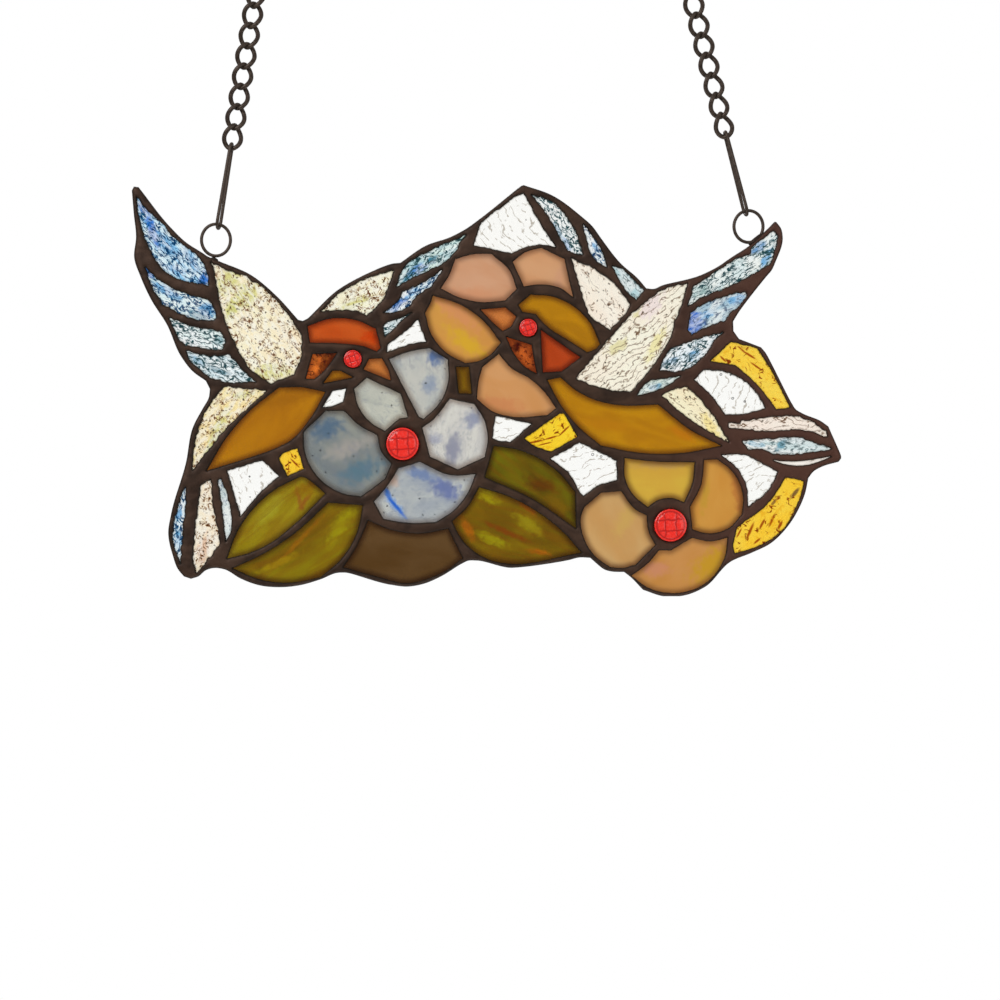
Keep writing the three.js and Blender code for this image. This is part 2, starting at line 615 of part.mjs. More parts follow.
// One oval link, its ends twisted against each other so that the chain lies flat
function link(centre, up) {
  const count = 8;
  const points = Array.from({ length: count }, (_, i) => {
    const angle = (2 * Math.PI * i) / count;
    const across = LINK_HALF_WIDTH * Math.cos(angle);
    const along = LINK_HALF_LENGTH * Math.sin(angle);
    const twist = (LINK_TWIST * along) / LINK_HALF_LENGTH;
    const side = across * Math.cos(twist);
    return new THREE.Vector3(
      centre.x + up.x * along + up.y * side,
      across * Math.sin(twist),
      centre.y + up.y * along - up.x * side,
    );
  });
  return wireLoop(points, LINK_WIRE, WIRE_SIDES);
}

function chain({ firstLink, lastLink }) {
  const first = new THREE.Vector2(...firstLink);
  const last = new THREE.Vector2(...lastLink);
  const up = last.clone().sub(first).normalize();
  let body = null;
  for (let i = 0; i < LINK_COUNT; i++) {
    const next = solid(link(first.clone().lerp(last, i / (LINK_COUNT - 1)), up));
    body = body ? body.add(next) : next;
  }
  return fromSolid(body);
}

// Where the left top link bears on what it hangs from
function hangingPoint({ firstLink, lastLink }) {
  const up = new THREE.Vector2(lastLink[0] - firstLink[0], lastLink[1] - firstLink[1]).normalize();
  return new THREE.Vector2(...lastLink).addScaledVector(up, LINK_HALF_LENGTH - LINK_WIRE);
}

const materials = {};
for (const [name, color] of Object.entries(SHEETS)) {
  materials[name] = new THREE.MeshStandardMaterial({ name, color, roughness: 0.12, metalness: 0 });
}
for (const [name, color] of Object.entries(METALS)) {
  materials[name] = new THREE.MeshStandardMaterial({ name, color, roughness: 0.45, metalness: 0.85 });
}

const panel = new THREE.Group();
panel.name = "stained_glass_hummingbird_panel";
const origin = hangingPoint(HANGERS.left);

function add(name, geometry, material) {
  const mesh = new THREE.Mesh(geometry.translate(-origin.x, 0, -origin.y), materials[material]);
  mesh.name = name;
  panel.add(mesh);
}

add("solder_seams", seams(), "solder");
for (const [name, [sheet]] of Object.entries(PANES)) {
  add(name, prism(paneEdge(name), -GLASS_HALF_DEPTH, GLASS_HALF_DEPTH), sheet);
}
for (const [name, { centre, radius }] of Object.entries(JEWELS)) add(name, jewel(centre, radius), "ruby");
for (const [side, hanger] of Object.entries(HANGERS)) {
  add(`${side}_ring`, ring(hanger.ring), "wire");
  add(`${side}_hook`, hook(hanger), "wire");
  add(`${side}_chain`, chain(hanger), "wire");
}

export default panel;
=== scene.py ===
"""Stained glass hummingbird panel: its seams, panes, jewels and hanging wires, dressed for rendering."""

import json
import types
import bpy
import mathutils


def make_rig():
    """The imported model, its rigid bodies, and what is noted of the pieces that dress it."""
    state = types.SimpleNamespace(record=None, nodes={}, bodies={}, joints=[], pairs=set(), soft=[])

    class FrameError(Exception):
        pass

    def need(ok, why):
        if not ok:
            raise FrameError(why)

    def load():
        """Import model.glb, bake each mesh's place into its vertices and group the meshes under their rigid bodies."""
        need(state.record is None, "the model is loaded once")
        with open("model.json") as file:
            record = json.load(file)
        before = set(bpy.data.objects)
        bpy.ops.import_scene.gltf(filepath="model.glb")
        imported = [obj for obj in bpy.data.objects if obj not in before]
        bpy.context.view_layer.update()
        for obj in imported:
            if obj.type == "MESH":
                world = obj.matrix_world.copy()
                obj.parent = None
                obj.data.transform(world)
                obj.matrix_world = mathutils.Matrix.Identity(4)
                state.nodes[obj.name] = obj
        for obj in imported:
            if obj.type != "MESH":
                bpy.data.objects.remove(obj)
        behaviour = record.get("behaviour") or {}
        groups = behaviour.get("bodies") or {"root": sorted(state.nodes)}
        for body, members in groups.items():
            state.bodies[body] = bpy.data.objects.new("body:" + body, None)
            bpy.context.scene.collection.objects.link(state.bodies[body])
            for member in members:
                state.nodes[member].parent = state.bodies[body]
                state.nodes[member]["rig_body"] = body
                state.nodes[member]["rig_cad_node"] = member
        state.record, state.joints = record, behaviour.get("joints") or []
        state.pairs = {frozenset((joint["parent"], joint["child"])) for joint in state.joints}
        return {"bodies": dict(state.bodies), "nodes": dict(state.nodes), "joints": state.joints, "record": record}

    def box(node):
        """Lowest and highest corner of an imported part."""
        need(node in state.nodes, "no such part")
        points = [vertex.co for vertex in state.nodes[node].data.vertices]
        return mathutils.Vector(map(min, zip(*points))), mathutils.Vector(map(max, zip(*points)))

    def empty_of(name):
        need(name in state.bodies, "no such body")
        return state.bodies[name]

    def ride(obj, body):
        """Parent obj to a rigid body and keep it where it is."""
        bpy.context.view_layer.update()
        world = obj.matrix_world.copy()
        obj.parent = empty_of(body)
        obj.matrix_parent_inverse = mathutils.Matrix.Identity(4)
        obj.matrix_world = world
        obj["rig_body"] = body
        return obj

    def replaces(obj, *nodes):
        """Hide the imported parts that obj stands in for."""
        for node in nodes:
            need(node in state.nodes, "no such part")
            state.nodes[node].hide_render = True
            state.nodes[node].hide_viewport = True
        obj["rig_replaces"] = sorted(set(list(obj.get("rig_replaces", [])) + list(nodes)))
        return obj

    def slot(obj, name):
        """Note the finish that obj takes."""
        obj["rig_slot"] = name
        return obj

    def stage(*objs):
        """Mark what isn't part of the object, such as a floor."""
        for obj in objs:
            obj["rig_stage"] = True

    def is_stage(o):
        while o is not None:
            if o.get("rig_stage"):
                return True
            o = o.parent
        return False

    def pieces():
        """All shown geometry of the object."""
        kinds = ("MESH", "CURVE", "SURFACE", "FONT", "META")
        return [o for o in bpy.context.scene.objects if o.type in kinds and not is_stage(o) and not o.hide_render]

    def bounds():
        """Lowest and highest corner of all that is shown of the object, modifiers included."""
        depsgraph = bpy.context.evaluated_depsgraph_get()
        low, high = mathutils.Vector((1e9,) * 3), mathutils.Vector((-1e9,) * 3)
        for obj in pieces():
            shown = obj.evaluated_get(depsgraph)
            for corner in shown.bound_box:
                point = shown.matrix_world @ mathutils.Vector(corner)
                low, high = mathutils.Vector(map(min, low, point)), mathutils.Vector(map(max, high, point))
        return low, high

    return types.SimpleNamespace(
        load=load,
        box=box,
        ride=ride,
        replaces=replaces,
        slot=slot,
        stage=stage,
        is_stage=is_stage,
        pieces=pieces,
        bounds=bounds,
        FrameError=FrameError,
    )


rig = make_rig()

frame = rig.load()

import json
import math

import bpy
import numpy as np
from mathutils import Vector, noise
from mathutils.geometry import delaunay_2d_cdt
from mathutils.kdtree import KDTree

bl_info = {
    "name": "Stained Glass Hummingbird Panel",
    "version": (1, 0, 0),
    "blender": (4, 5, 0),
    "location": "View3D > Sidebar > Glass Panel",
    "description": "Builds the seams, panes, jewels and hanging wires of a stained glass panel",
    "category": "Add Mesh",
}

MM = 0.001
CAD_BOX = [list(corner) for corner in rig.bounds()]

# Where the row's origin lies in the picture, whose millimetres count from the left wing's tip and from
# the lowest petal
ORIGIN_IN_PICTURE = (64.766, 315.738)
PICTURE_CENTRE = (184.5, 48.5)
PICTURE_WIDTH = 0.5

# Seams, in millimetres, with the points beside every edge: how far off it, and their least gap to any edge
GLASS_HALF = 1.5
SEAM_FOOT = 1.42
RIM_FOOT = 0.75
BEAD_RADIUS = 2.1
RIM_BEAD_RADIUS = 2.4
GRID_ROW_SHARE = 0.87
GRID_GAP = 0.6
EDGE_ROWS = ((0.3, 0.27), (0.75, 0.65))
SWELL_START = 1.5
SWELL_SHARE = 0.6
CORNER_TURN = math.radians(27)
SHARP_EDGE = math.radians(50)
OUTLINE_STEP = 0.8
KNOT_SPAN = 8
LEAST_SLANT = 0.6
NICKED_AREA = 110
JEWEL_STEP = 0.9

# Panes: how far the glass goes under the seam, and the spacing of the points on its faces
GLASS_TUCK = 0.45
LARGE_PANE = 30
LARGE_SPACING = 1.7
SMALL_SPACING = 1.1
FACE_GAP = 0.7
INNER_ROW = 0.5
INNER_ROW_GAP = 0.4
BACK_RELIEF = 0.4

# Jewels: grooves and domes as shares of the radius, the other sizes in millimetres
JEWEL_SIDES = 96
JEWEL_ROWS = 30
LARGE_JEWEL = 5
JEWEL_DOME = 0.22
JEWEL_TUCK = 0.08
JEWEL_SKIRT = ((0.3, -GLASS_HALF), (0.4, GLASS_HALF))
GROOVE_PLACE = 0.34
GROOVE_BULGE = 0.35
RIM_GROOVE_PLACE = 0.86
GROOVE_DEPTH = 0.2
GROOVE_WAVER = 0.06
# The turn of a jewel's grooves and their width, for the flowers' large jewels and the birds' eyes
LARGE_GROOVES = (math.radians(4), 0.095)
SMALL_GROOVES = (math.radians(20), 0.13)

# Small panes that have no node of their own: the middle of each window in the picture
SMALL_PANE_CENTRES = {
    "left_throat": (95, 115.5),
    "left_cheek": (103, 110),
    "left_beak": (123, 114),
    "left_rear_feather_2": (141, 153),
    "left_rear_feather_3": (134, 137),
    "left_tail_feather_1": (24.5, 36),
    "left_tail_feather_3": (47, 44),
    "clear_diamond": (101.5, 99.5),
    "clear_by_left_rear_wing": (138, 130.5),
    "amber_bit": (80, 67.5),
    "olive_bit": (166.5, 108.3),
    "right_beak": (183.5, 139),
    "right_chin": (195.5, 120.8),
    "right_wing_feather_4": (264, 105.5),
    "right_rear_feather_2": (231.5, 176),
    "right_rear_feather_3": (248.5, 156.3),
    "right_tail_feather_3": (335, 68),
    "clear_centre": (190.5, 84),
}
JEWELS = ("left_eye_jewel", "right_eye_jewel", "blue_flower_jewel", "gold_flower_jewel")

# Hanging wires: each side's ring, lowest link and topmost link in the picture
CHAINS = {
    "left": {"ring": (42.5, 178.5), "first": (50.9, 230), "last": (64, 311)},
    "right": {"ring": (308.75, 185.25), "first": (296.2, 235.85), "last": (276.5, 316)},
}
# The solder at each ring's foot: its middle, half length, width and depth, turn in degrees and seed
RING_SOLDER = {
    "left": (41.9, 168.7, 2.0, 1.0, 1.4, -28, 5),
    "right": (312.4, 178.8, 4.6, 1.2, 1.5, 40, 6),
}
SOLDER_ROWS = 14
SOLDER_COLUMNS = 22
WIRE_SIDES = 12
RING_POINTS = 72
RING_HALF_WIDTH = 7.25
RING_HALF_HEIGHT = 7.95
RING_WIRE = 0.82
RING_WIRE_SOLID = 0.725
HOOK_WIRE = 0.84
HOOK_PLAY = 0.55
HOOK_TOP_RADIUS = 2.5
HOOK_BOTTOM_RADIUS = 4.1
HOOK_TURN = math.radians(6.2)
HOOK_BEND_PARTS = 18
HOOK_WIRE_PARTS = 24
LINK_WIRE = 1.15
LINK_HALF_LENGTH = 5.95
LINK_HALF_WIDTH = 4.3
LINK_COUNT = 9
LINK_POINTS = 48
LINK_TWIST = math.pi / 4
LINK_ROLL_LOWEST = math.radians(21)
LINK_ROLL_STEP = math.radians(-4)


def in_row(x, z):
    """A place in the picture, in millimetres, as a point of the row's frame in metres."""
    return Vector(((x - ORIGIN_IN_PICTURE[0]) * MM, 0.0, (z - ORIGIN_IN_PICTURE[1]) * MM))


def wobble(x, z, scale, seed):
    """Smooth noise between about -1 and 1 over the picture, with features of about scale millimetres."""
    return noise.noise(Vector((x / scale, z / scale, seed * 7.31)))


def uneven(points, *layers):
    """The sum of layers of smooth noise at each point, each layer an amount, a scale and a seed."""
    return np.array([sum(share * wobble(x, z, *layer) for share, *layer in layers) for x, z in points])


# Outlines


def free_edges(faces):
    """The edges that only one face has, in that face's direction."""
    free = {}
    for face in faces:
        for edge in zip(face, face[1:] + face[:1]):
            if free.pop(edge[::-1], None) is None:
                free[edge] = True
    return list(free)


def front_loops(node):
    """The closed loops round the front face of a node, each a list of (x, z) in picture millimetres."""
    points = [tuple(round(c, 6) for c in vertex.co) for vertex in node.data.vertices]
    front = min(point[1] for point in points) + 1e-5
    rings = [[points[i] for i in polygon.vertices] for polygon in node.data.polygons]
    following = dict(free_edges(ring for ring in rings if all(point[1] <= front for point in ring)))
    loops = []
    while following:
        loop = []
        point = next(iter(following))
        while point in following:
            loop.append((point[0] / MM + ORIGIN_IN_PICTURE[0], point[2] / MM + ORIGIN_IN_PICTURE[1]))
            point = following.pop(point)
        loops.append(clockwise(loop))
    return loops


def signed_area(loop):
    """Positive where the loop runs anticlockwise as seen from the front."""
    total = 0.0
    for (ax, az), (bx, bz) in zip(loop, loop[1:] + loop[:1]):
        total += ax * bz - bx * az
    return total / 2


def clockwise(loop):
    """The loop in the direction that every function here expects."""
    return loop[::-1] if signed_area(loop) > 0 else loop


def smoothed(loop, step):
    """The loop as a curve through its points, sharp only where it turns hard, as an array of points."""
    points = [Vector(point) for point in loop]
    count = len(points)
    edges = [points[(i + 1) % count] - points[i] for i in range(count)]
    lengths = [edge.length for edge in edges]
    directions = [edge.normalized() for edge in edges]
    result = []
    for i in range(count):
        after = (i + 1) % count
        length = lengths[i]
        ends = []
        for corner, before in ((i, i - 1), (after, i)):
            into, out = directions[before], directions[corner]
            if into.angle(out) > CORNER_TURN:
                ends.append(directions[i] * length)
                continue
            weights = lengths[corner], lengths[before]
            tangent = (into * weights[0] + out * weights[1]).normalized()
            ends.append(tangent * min(length, 3 * min(weights)))
        parts = max(1, round(length / step))
        for k in range(parts):
            t = k / parts
            result.append(
                points[i] * (2 * t**3 - 3 * t**2 + 1)
                + ends[0] * (t**3 - 2 * t**2 + t)
                + points[after] * (3 * t**2 - 2 * t**3)
                + ends[1] * (t**3 - t**2)
            )
    return np.array([tuple(point) for point in result])


def roughened(loop, amount):
    """The loop with the small nicks and swells of a seam that was run by hand."""
    along = np.roll(loop, -1, axis=0) - np.roll(loop, 1, axis=0)
    normal = np.stack([-along[:, 1], along[:, 0]], axis=1) / np.linalg.norm(along, axis=1, keepdims=True)
    return loop + normal * (amount * uneven(loop, (1, 2.1, 11), (0.6, 1.0, 12)))[:, None]


def crossed(a, b, c, d):
    """Whether the line from a to b crosses the line from c to d."""
    def turn(p, q, r):
        return (q[0] - p[0]) * (r[1] - p[1]) - (q[1] - p[1]) * (r[0] - p[0])

    return turn(a, b, c) * turn(a, b, d) < 0 and turn(c, d, a) * turn(c, d, b) < 0


def unknotted(loop):
    """The loop without the tiny knots that its sharp tips can tie."""
    count = len(loop)
    keep = np.ones(count, dtype=bool)
    for i in range(count):
        for span in range(2, KNOT_SPAN):
            knot = [(i + k) % count for k in range(1, span + 1)]
            if crossed(loop[i], loop[knot[0]], loop[knot[-1]], loop[(i + span + 1) % count]):
                keep[knot] = False
    return loop[keep]


def circle(centre, radius, step):
    """A clockwise circle."""
    count = max(24, round(2 * math.pi * radius / step))
    angles = np.arange(count) * 2 * math.pi / count
    return np.stack([centre[0] + radius * np.sin(angles), centre[1] + radius * np.cos(angles)], axis=1)


def moved_out(loop, amount):
    """A clockwise loop moved outward along its corners' bisectors."""
    into = loop - np.roll(loop, 1, axis=0)
    into /= np.linalg.norm(into, axis=1, keepdims=True)
    out = np.roll(into, -1, axis=0)
    normal = np.stack([-(into + out)[:, 1], (into + out)[:, 0]], axis=1)
    normal /= np.maximum(np.linalg.norm(normal, axis=1, keepdims=True), 1e-9)
    slant = np.maximum(-normal[:, 0] * into[:, 1] + normal[:, 1] * into[:, 0], LEAST_SLANT)
    return loop + normal * (amount / slant)[:, None]


def inside(points, loop):
    """Which of the points lie within the loop."""
    result = np.zeros(len(points), dtype=bool)
    low, high = loop.min(axis=0), loop.max(axis=0)
    near = np.where(np.all((points >= low) & (points <= high), axis=1))[0]
    if not len(near):
        return result
    x, z = points[near, 0][:, None], points[near, 1][:, None]
    ax, az = loop[:, 0][None], loop[:, 1][None]
    bx, bz = np.roll(loop, -1, axis=0).T[:, None, :]
    with np.errstate(divide="ignore", invalid="ignore"):
        crossing = ((az > z) != (bz > z)) & (x < (bx - ax) * (z - az) / (bz - az) + ax)
    result[near] = crossing.sum(axis=1) % 2 == 1
    return result


def grid_over(loop, spacing, row_spacing):
    """Rows of evenly spaced points over a loop's box."""
    low, high = loop.min(axis=0), loop.max(axis=0)
    columns, rows = np.arange(low[0], high[0], spacing), np.arange(low[1], high[1], row_spacing)
    return np.stack(np.meshgrid(columns, rows), axis=-1)


def tree_of(loops):
    """A search tree of closely spaced points along the loops."""
    shares = (0, 0.33, 0.67)
    dense = np.concatenate([loop * (1 - t) + np.roll(loop, -1, axis=0) * t for loop in loops for t in shares])
    tree = KDTree(len(dense))
    for i, (x, z) in enumerate(dense):
        tree.insert((x, z, 0), i)
    tree.balance()
    return tree


def distances(tree, points):
    """How far each point is from the nearest in the tree."""
    return np.array([tree.find((x, z, 0))[2] for x, z in points])


def windows():
    """Every opening of the seams by its pane's name, and the rim, as smooth clockwise loops."""
    loops = front_loops(frame["nodes"]["solder_seams"])
    loops.sort(key=lambda loop: -abs(signed_area(loop)))
    corners = np.array(loops[0])
    rim = np.clip(smoothed(loops[0], OUTLINE_STEP), corners.min(axis=0), corners.max(axis=0))
    centres = dict(SMALL_PANE_CENTRES)
    for name in frame["nodes"]:
        if name == "solder_seams" or name.endswith(("_ring", "_hook", "_chain")):
            continue
        low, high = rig.box(name)
        centres[name] = [(low[i] + high[i]) / 2 / MM + ORIGIN_IN_PICTURE[i // 2] for i in (0, 2)]
    found = {}
    for loop in loops[1:]:
        middle = [(min(p[i] for p in loop) + max(p[i] for p in loop)) / 2 for i in (0, 1)]
        name = min(centres, key=lambda key: math.dist(centres[key], middle))
        if name in found:
            raise RuntimeError("two windows are nearest to " + name)
        if name in JEWELS:
            found[name] = circle(middle, max(math.dist(p, middle) for p in loop), JEWEL_STEP)
        else:
            nicks = KINDS[PANES[name][0]]["nicks"] * min(1.0, abs(signed_area(loop)) / NICKED_AREA)
            found[name] = unknotted(roughened(smoothed(loop, OUTLINE_STEP), nicks))
    return found, rim


# Meshes


def triangulated(loops, extra):
    """Points and triangles over the area of the first loop, less the other loops."""
    coords = [Vector(point) for loop in loops for point in loop] + [Vector(point) for point in extra]
    edges = []
    start = 0
    for loop in loops:
        edges += [(start + i, start + (i + 1) % len(loop)) for i in range(len(loop))]
        start += len(loop)
    points, _, faces, *_ = delaunay_2d_cdt(coords, edges, [], 0, 1e-6, True)
    points = np.array([tuple(point) for point in points])
    faces = np.array(faces)
    middles = points[faces].mean(axis=1)
    keep = inside(middles, loops[0])
    for loop in loops[1:]:
        keep &= ~inside(middles, loop)
    return points, faces[keep]


def slab(points, faces, front, back):
    """A closed mesh: the flat triangles at depth front and back, with walls round every free edge."""
    used = np.unique(faces)
    renumber = -np.ones(len(points), dtype=int)
    renumber[used] = np.arange(len(used))
    points, front, back = points[used], front[used], back[used]
    faces = renumber[faces]
    a, b, c = points[faces[:, 0]], points[faces[:, 1]], points[faces[:, 2]]
    turn = (b[:, 0] - a[:, 0]) * (c[:, 1] - a[:, 1]) - (b[:, 1] - a[:, 1]) * (c[:, 0] - a[:, 0])
    faces = np.where((turn < 0)[:, None], faces[:, ::-1], faces)
    count = len(points)
    near = np.stack([points[:, 0], front, points[:, 1]], axis=1)
    far = np.stack([points[:, 0], back, points[:, 1]], axis=1)
    walls = [(j, i, i + count, j + count) for i, j in free_edges(faces.tolist())]
    polygons = faces.tolist() + (faces[:, ::-1] + count).tolist() + walls
    return np.concatenate([near, far]), polygons


def volume(points, polygons):
    """The volume within a closed mesh, negative where its faces look inward."""
    corners = [(p[0], p[i], p[i + 1]) for p in polygons for i in range(1, len(p) - 1)]
    a, b, c = (points[np.array(corners)[:, i]] for i in range(3))
    return float(np.sum(a * np.cross(b, c)) / 6)


def new_piece(name, points, polygons, material, slot, nodes=()):
    """A piece of the panel from points in picture millimetres, riding on the root body."""
    moved = (np.asarray(points) - (ORIGIN_IN_PICTURE[0], 0, ORIGIN_IN_PICTURE[1])) * MM
    if volume(moved, polygons) < 0:
        polygons = [polygon[::-1] for polygon in polygons]
    mesh = bpy.data.meshes.new(name)
    mesh.from_pydata(moved.tolist(), [], polygons)
    mesh.materials.append(material)
    mesh.shade_smooth()
    mesh.set_sharp_from_angle(angle=SHARP_EDGE)
    piece = bpy.data.objects.new(name, mesh)
    bpy.context.scene.collection.objects.link(piece)
    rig.ride(piece, "root")
    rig.slot(piece, slot)
    if nodes:
        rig.replaces(piece, *nodes)
    return piece


def give_values(piece, name, values):
    """Keeps one number for each point of a piece, for its material to read."""
    attribute = piece.data.attributes.new(name, "FLOAT", "POINT")
    attribute.data.foreach_set("value", values)


def wire_loop(points, radius):
    """Points and quads of a closed round wire through the points."""
    path = np.array(points)
    middle = path.mean(axis=0)
    tangent = np.roll(path, -1, axis=0) - np.roll(path, 1, axis=0)
    tangent /= np.linalg.norm(tangent, axis=1, keepdims=True)
    out = path - middle
    out -= tangent * np.sum(out * tangent, axis=1, keepdims=True)
    out /= np.linalg.norm(out, axis=1, keepdims=True)
    across = np.cross(tangent, out)
    angles = np.arange(WIRE_SIDES) * 2 * math.pi / WIRE_SIDES
    rings = path[:, None] + radius * (
        np.cos(angles)[None, :, None] * out[:, None] + np.sin(angles)[None, :, None] * across[:, None]
    )
    quads = []
    for start in range(0, len(path) * WIRE_SIDES, WIRE_SIDES):
        after = (start + WIRE_SIDES) % (len(path) * WIRE_SIDES)
        for k in range(WIRE_SIDES):
            side = (k + 1) % WIRE_SIDES
            quads.append((start + k, start + side, after + side, after + k))
    return rings.reshape(-1, 3), quads


def joined(parts):
    """Several (points, polygons) as one."""
    points, polygons, start = [], [], 0
    for part_points, part_polygons in parts:
        points.append(np.asarray(part_points))
        polygons += [tuple(start + i for i in polygon) for polygon in part_polygons]
        start += len(part_points)
    return np.concatenate(points), polygons


# Shader groups


def linear(colour):
    """A colour given as 0 to 255 in sRGB, as linear RGB."""
    return [(c / 255 / 12.92) if c / 255 <= 0.04045 else ((c / 255 + 0.055) / 1.055) ** 2.4 for c in colour]


def opaque(*colour):
    """The linear colour with a full alpha."""
    return linear(colour) + [1]


class Value:
    """What a node puts out, whose sums are nodes too."""

    def __init__(self, wiring, socket):
        self.wiring = wiring
        self.socket = socket

    def __add__(self, other):
        return self.wiring.math("ADD", self, other)

    def __sub__(self, other):
        return self.wiring.math("SUBTRACT", self, other)

    def __rsub__(self, other):
        return self.wiring.math("SUBTRACT", other, self)

    def __mul__(self, other):
        return self.wiring.math("MULTIPLY", self, other)

    def __truediv__(self, other):
        return self.wiring.math("DIVIDE", self, other)

    def __rtruediv__(self, other):
        return self.wiring.math("DIVIDE", other, self)

    def __abs__(self):
        return self.wiring.math("ABSOLUTE", self)


class Wiring:
    """Adds nodes to a tree and joins them."""

    def __init__(self, tree):
        self.tree = tree

    def set(self, socket, value):
        if isinstance(value, Value):
            self.tree.links.new(value.socket, socket)
        else:
            socket.default_value = value

    def node(self, kind, values=(), **settings):
        """A node with its settings, its inputs fed by name or number, or in their order."""
        node = self.tree.nodes.new(kind)
        for name, value in settings.items():
            setattr(node, name, value)
        pairs = values.items() if isinstance(values, dict) else enumerate(values)
        for key, value in pairs:
            self.set(node.inputs[key], value)
        return node

    def out(self, kind, output=0, values=(), **settings):
        """One output of a new node."""
        return Value(self, self.node(kind, values, **settings).outputs[output])

    def math(self, operation, *values):
        """A sum of numbers, or of vectors where one of them is a vector."""
        vectors = any(isinstance(value, tuple) for value in values)
        vectors |= any(isinstance(value, Value) and value.socket.type == "VECTOR" for value in values)
        kind = "ShaderNodeVectorMath" if vectors else "ShaderNodeMath"
        output = "Vector" if vectors and operation != "LENGTH" else "Value"
        return self.out(kind, output, values, operation=operation)

    def point(self, x, y, z):
        return self.out("ShaderNodeCombineXYZ", 0, (x, y, z))

    def parts(self, vector):
        return [Value(self, socket) for socket in self.node("ShaderNodeSeparateXYZ", (vector,)).outputs]

    def ramp(self, value, low, high, start=0.0, end=1.0):
        values = (value, low, high, start, end)
        return self.out("ShaderNodeMapRange", 0, values, interpolation_type="SMOOTHSTEP")

    def noise(self, vector, scale, detail=2.0, distortion=0.0, output=0):
        return self.out("ShaderNodeTexNoise", output, {
            "Vector": vector, "Scale": scale, "Detail": detail, "Distortion": distortion})

    def mix(self, mask, first, second, blend="MIX"):
        values = {0: mask, 6: first, 7: second}
        return self.out("ShaderNodeMix", 2, values, data_type="RGBA", blend_type=blend)

    def effect(self, name, *values):
        """A shader group in this tree, fed with the values in the order of its inputs."""
        return self.out("ShaderNodeGroup", 0, values, node_tree=GROUPS[name])


def turned(w, vector, angle):
    """The vector turned about the panel's depth by an angle in degrees, as (along, across) coordinates."""
    radians = w.math("RADIANS", angle)
    cosine, sine = w.math("COSINE", radians), w.math("SINE", radians)
    x, _, z = w.parts(vector)
    return x * cosine + z * sine, z * cosine - x * sine


def scattered(w, vector, spacing):
    """The distance to the nearest of many scattered dots, and a random number that the dot keeps."""
    cells = w.node("ShaderNodeTexVoronoi", {"Vector": vector, "Scale": 1.0}).outputs
    return Value(w, cells["Distance"]) * spacing, w.parts(Value(w, cells["Color"]))[0]


def picture(w):
    """Picture coordinates in millimetres, the same at every depth of the glass."""
    place = w.out("ShaderNodeTexCoord", "Object")
    return place * (1 / MM, 0, 1 / MM) + (ORIGIN_IN_PICTURE[0], 0, ORIGIN_IN_PICTURE[1])


def clouds(w, vector, angle, size, stretch, sharpness, seed):
    """Soft clouds of a second colour, stretched along an angle."""
    along, across = turned(w, vector, angle)
    cloud = w.noise(w.point(along / (size * stretch), across / size, seed), 1.0, 3.0, 0.6)
    half = (1.02 - sharpness) * 0.3
    return w.ramp(cloud, 0.5 - half, half + 0.5)


def patch(w, vector, centre, length, width, angle, ragged, soft):
    """One ragged oval patch at a place in the picture."""
    along, across = turned(w, vector - centre, angle)
    radius = w.math("LENGTH", w.point(along / length, across / width, 0.0))
    rough = w.noise(vector, 0.35, 3.0) - 0.5
    return w.ramp(radius + rough * (ragged * 9.0), 1.0 - soft * 0.8, soft * 0.4 + 1.0, 1.0, 0.0)


def strokes(w, vector, angle, spacing, length, cover, width, seed):
    """Short wavy strokes lying along an angle, thicker and closer in some places than in others."""
    seeded = vector + w.point(0.0, seed, 0.0)
    along, across = turned(w, vector, angle)
    across = across + (w.noise(seeded, 0.24, 1.0) - 0.5) * 6.5
    ridge = w.noise(w.point(along / length, across / spacing, seed), 1.0, 1.0)
    line = w.ramp(abs(ridge - 0.5), width * 0.45, width, 1.0, 0.0)
    least = 0.72 - cover * 0.45
    return line * w.ramp(w.noise(seeded, 0.3, 1.5), least - 0.07, least + 0.07)


def waves(w, vector, angle, spacing, sway, cover, width, seed):
    """Long thin wavy lines at an even spacing along an angle, broken here and there."""
    seeded = vector + w.point(0.0, seed, 0.0)
    _, across = turned(w, vector, angle)
    slow = (w.noise(seeded, 0.09, 1.0) - 0.5) * sway
    quick = (w.noise(seeded, 0.42, 1.0) - 0.5) * 2.4
    lane = w.math("FRACT", (across + (slow * 2.0 + quick)) / spacing)
    line = w.ramp(abs(lane - 0.5) * spacing, width * 0.4, width, 1.0, 0.0)
    least = 0.7 - cover * 0.4
    return line * w.ramp(w.noise(seeded, 0.35, 3.0), least - 0.06, least + 0.06)


def specks(w, vector, spacing, radius, cover, seed):
    """Dark specks, crowded in drifts."""
    flat = (vector + w.point(seed, 0.0, 0.0)) * (1, 0, 1)
    shift = w.noise(flat, 0.9, output="Color") - (0.5, 0.5, 0.5)
    inverse = 1.0 / spacing
    spaced = (flat + shift * (1.6, 0, 1.6)) * w.point(inverse, 0.0, inverse)
    distance, chance = scattered(w, spaced, spacing)
    dot = w.ramp(distance, radius * 0.5, radius, 1.0, 0.0)
    crowd = w.ramp(w.noise(flat, 0.13, 3.0), 0.35, 0.65, 1.05, 0.25)
    return dot * w.math("GREATER_THAN", chance, crowd - cover * 0.5)


def bubbles(w, vector, spacing, radius, seed):
    """Small round seed bubbles with a dark outline."""
    seeded = vector * (1, 0, 1) + w.point(seed, 0.0, 0.0)
    distance, chance = scattered(w, seeded / w.point(spacing, spacing, spacing), spacing)
    ring = abs(distance - radius * (chance + 0.4))
    return w.ramp(ring, 0.06, 0.26, 1.0, 0.0) * w.math("GREATER_THAN", chance, 0.45)


def edge(w, reach):
    """Shade that gathers where the glass goes under the seam."""
    distance = w.out("ShaderNodeAttribute", "Fac", attribute_name="edge_distance")
    return w.math("POWER", w.ramp(distance, 0.0, reach, 1.0, 0.0), 1.3)


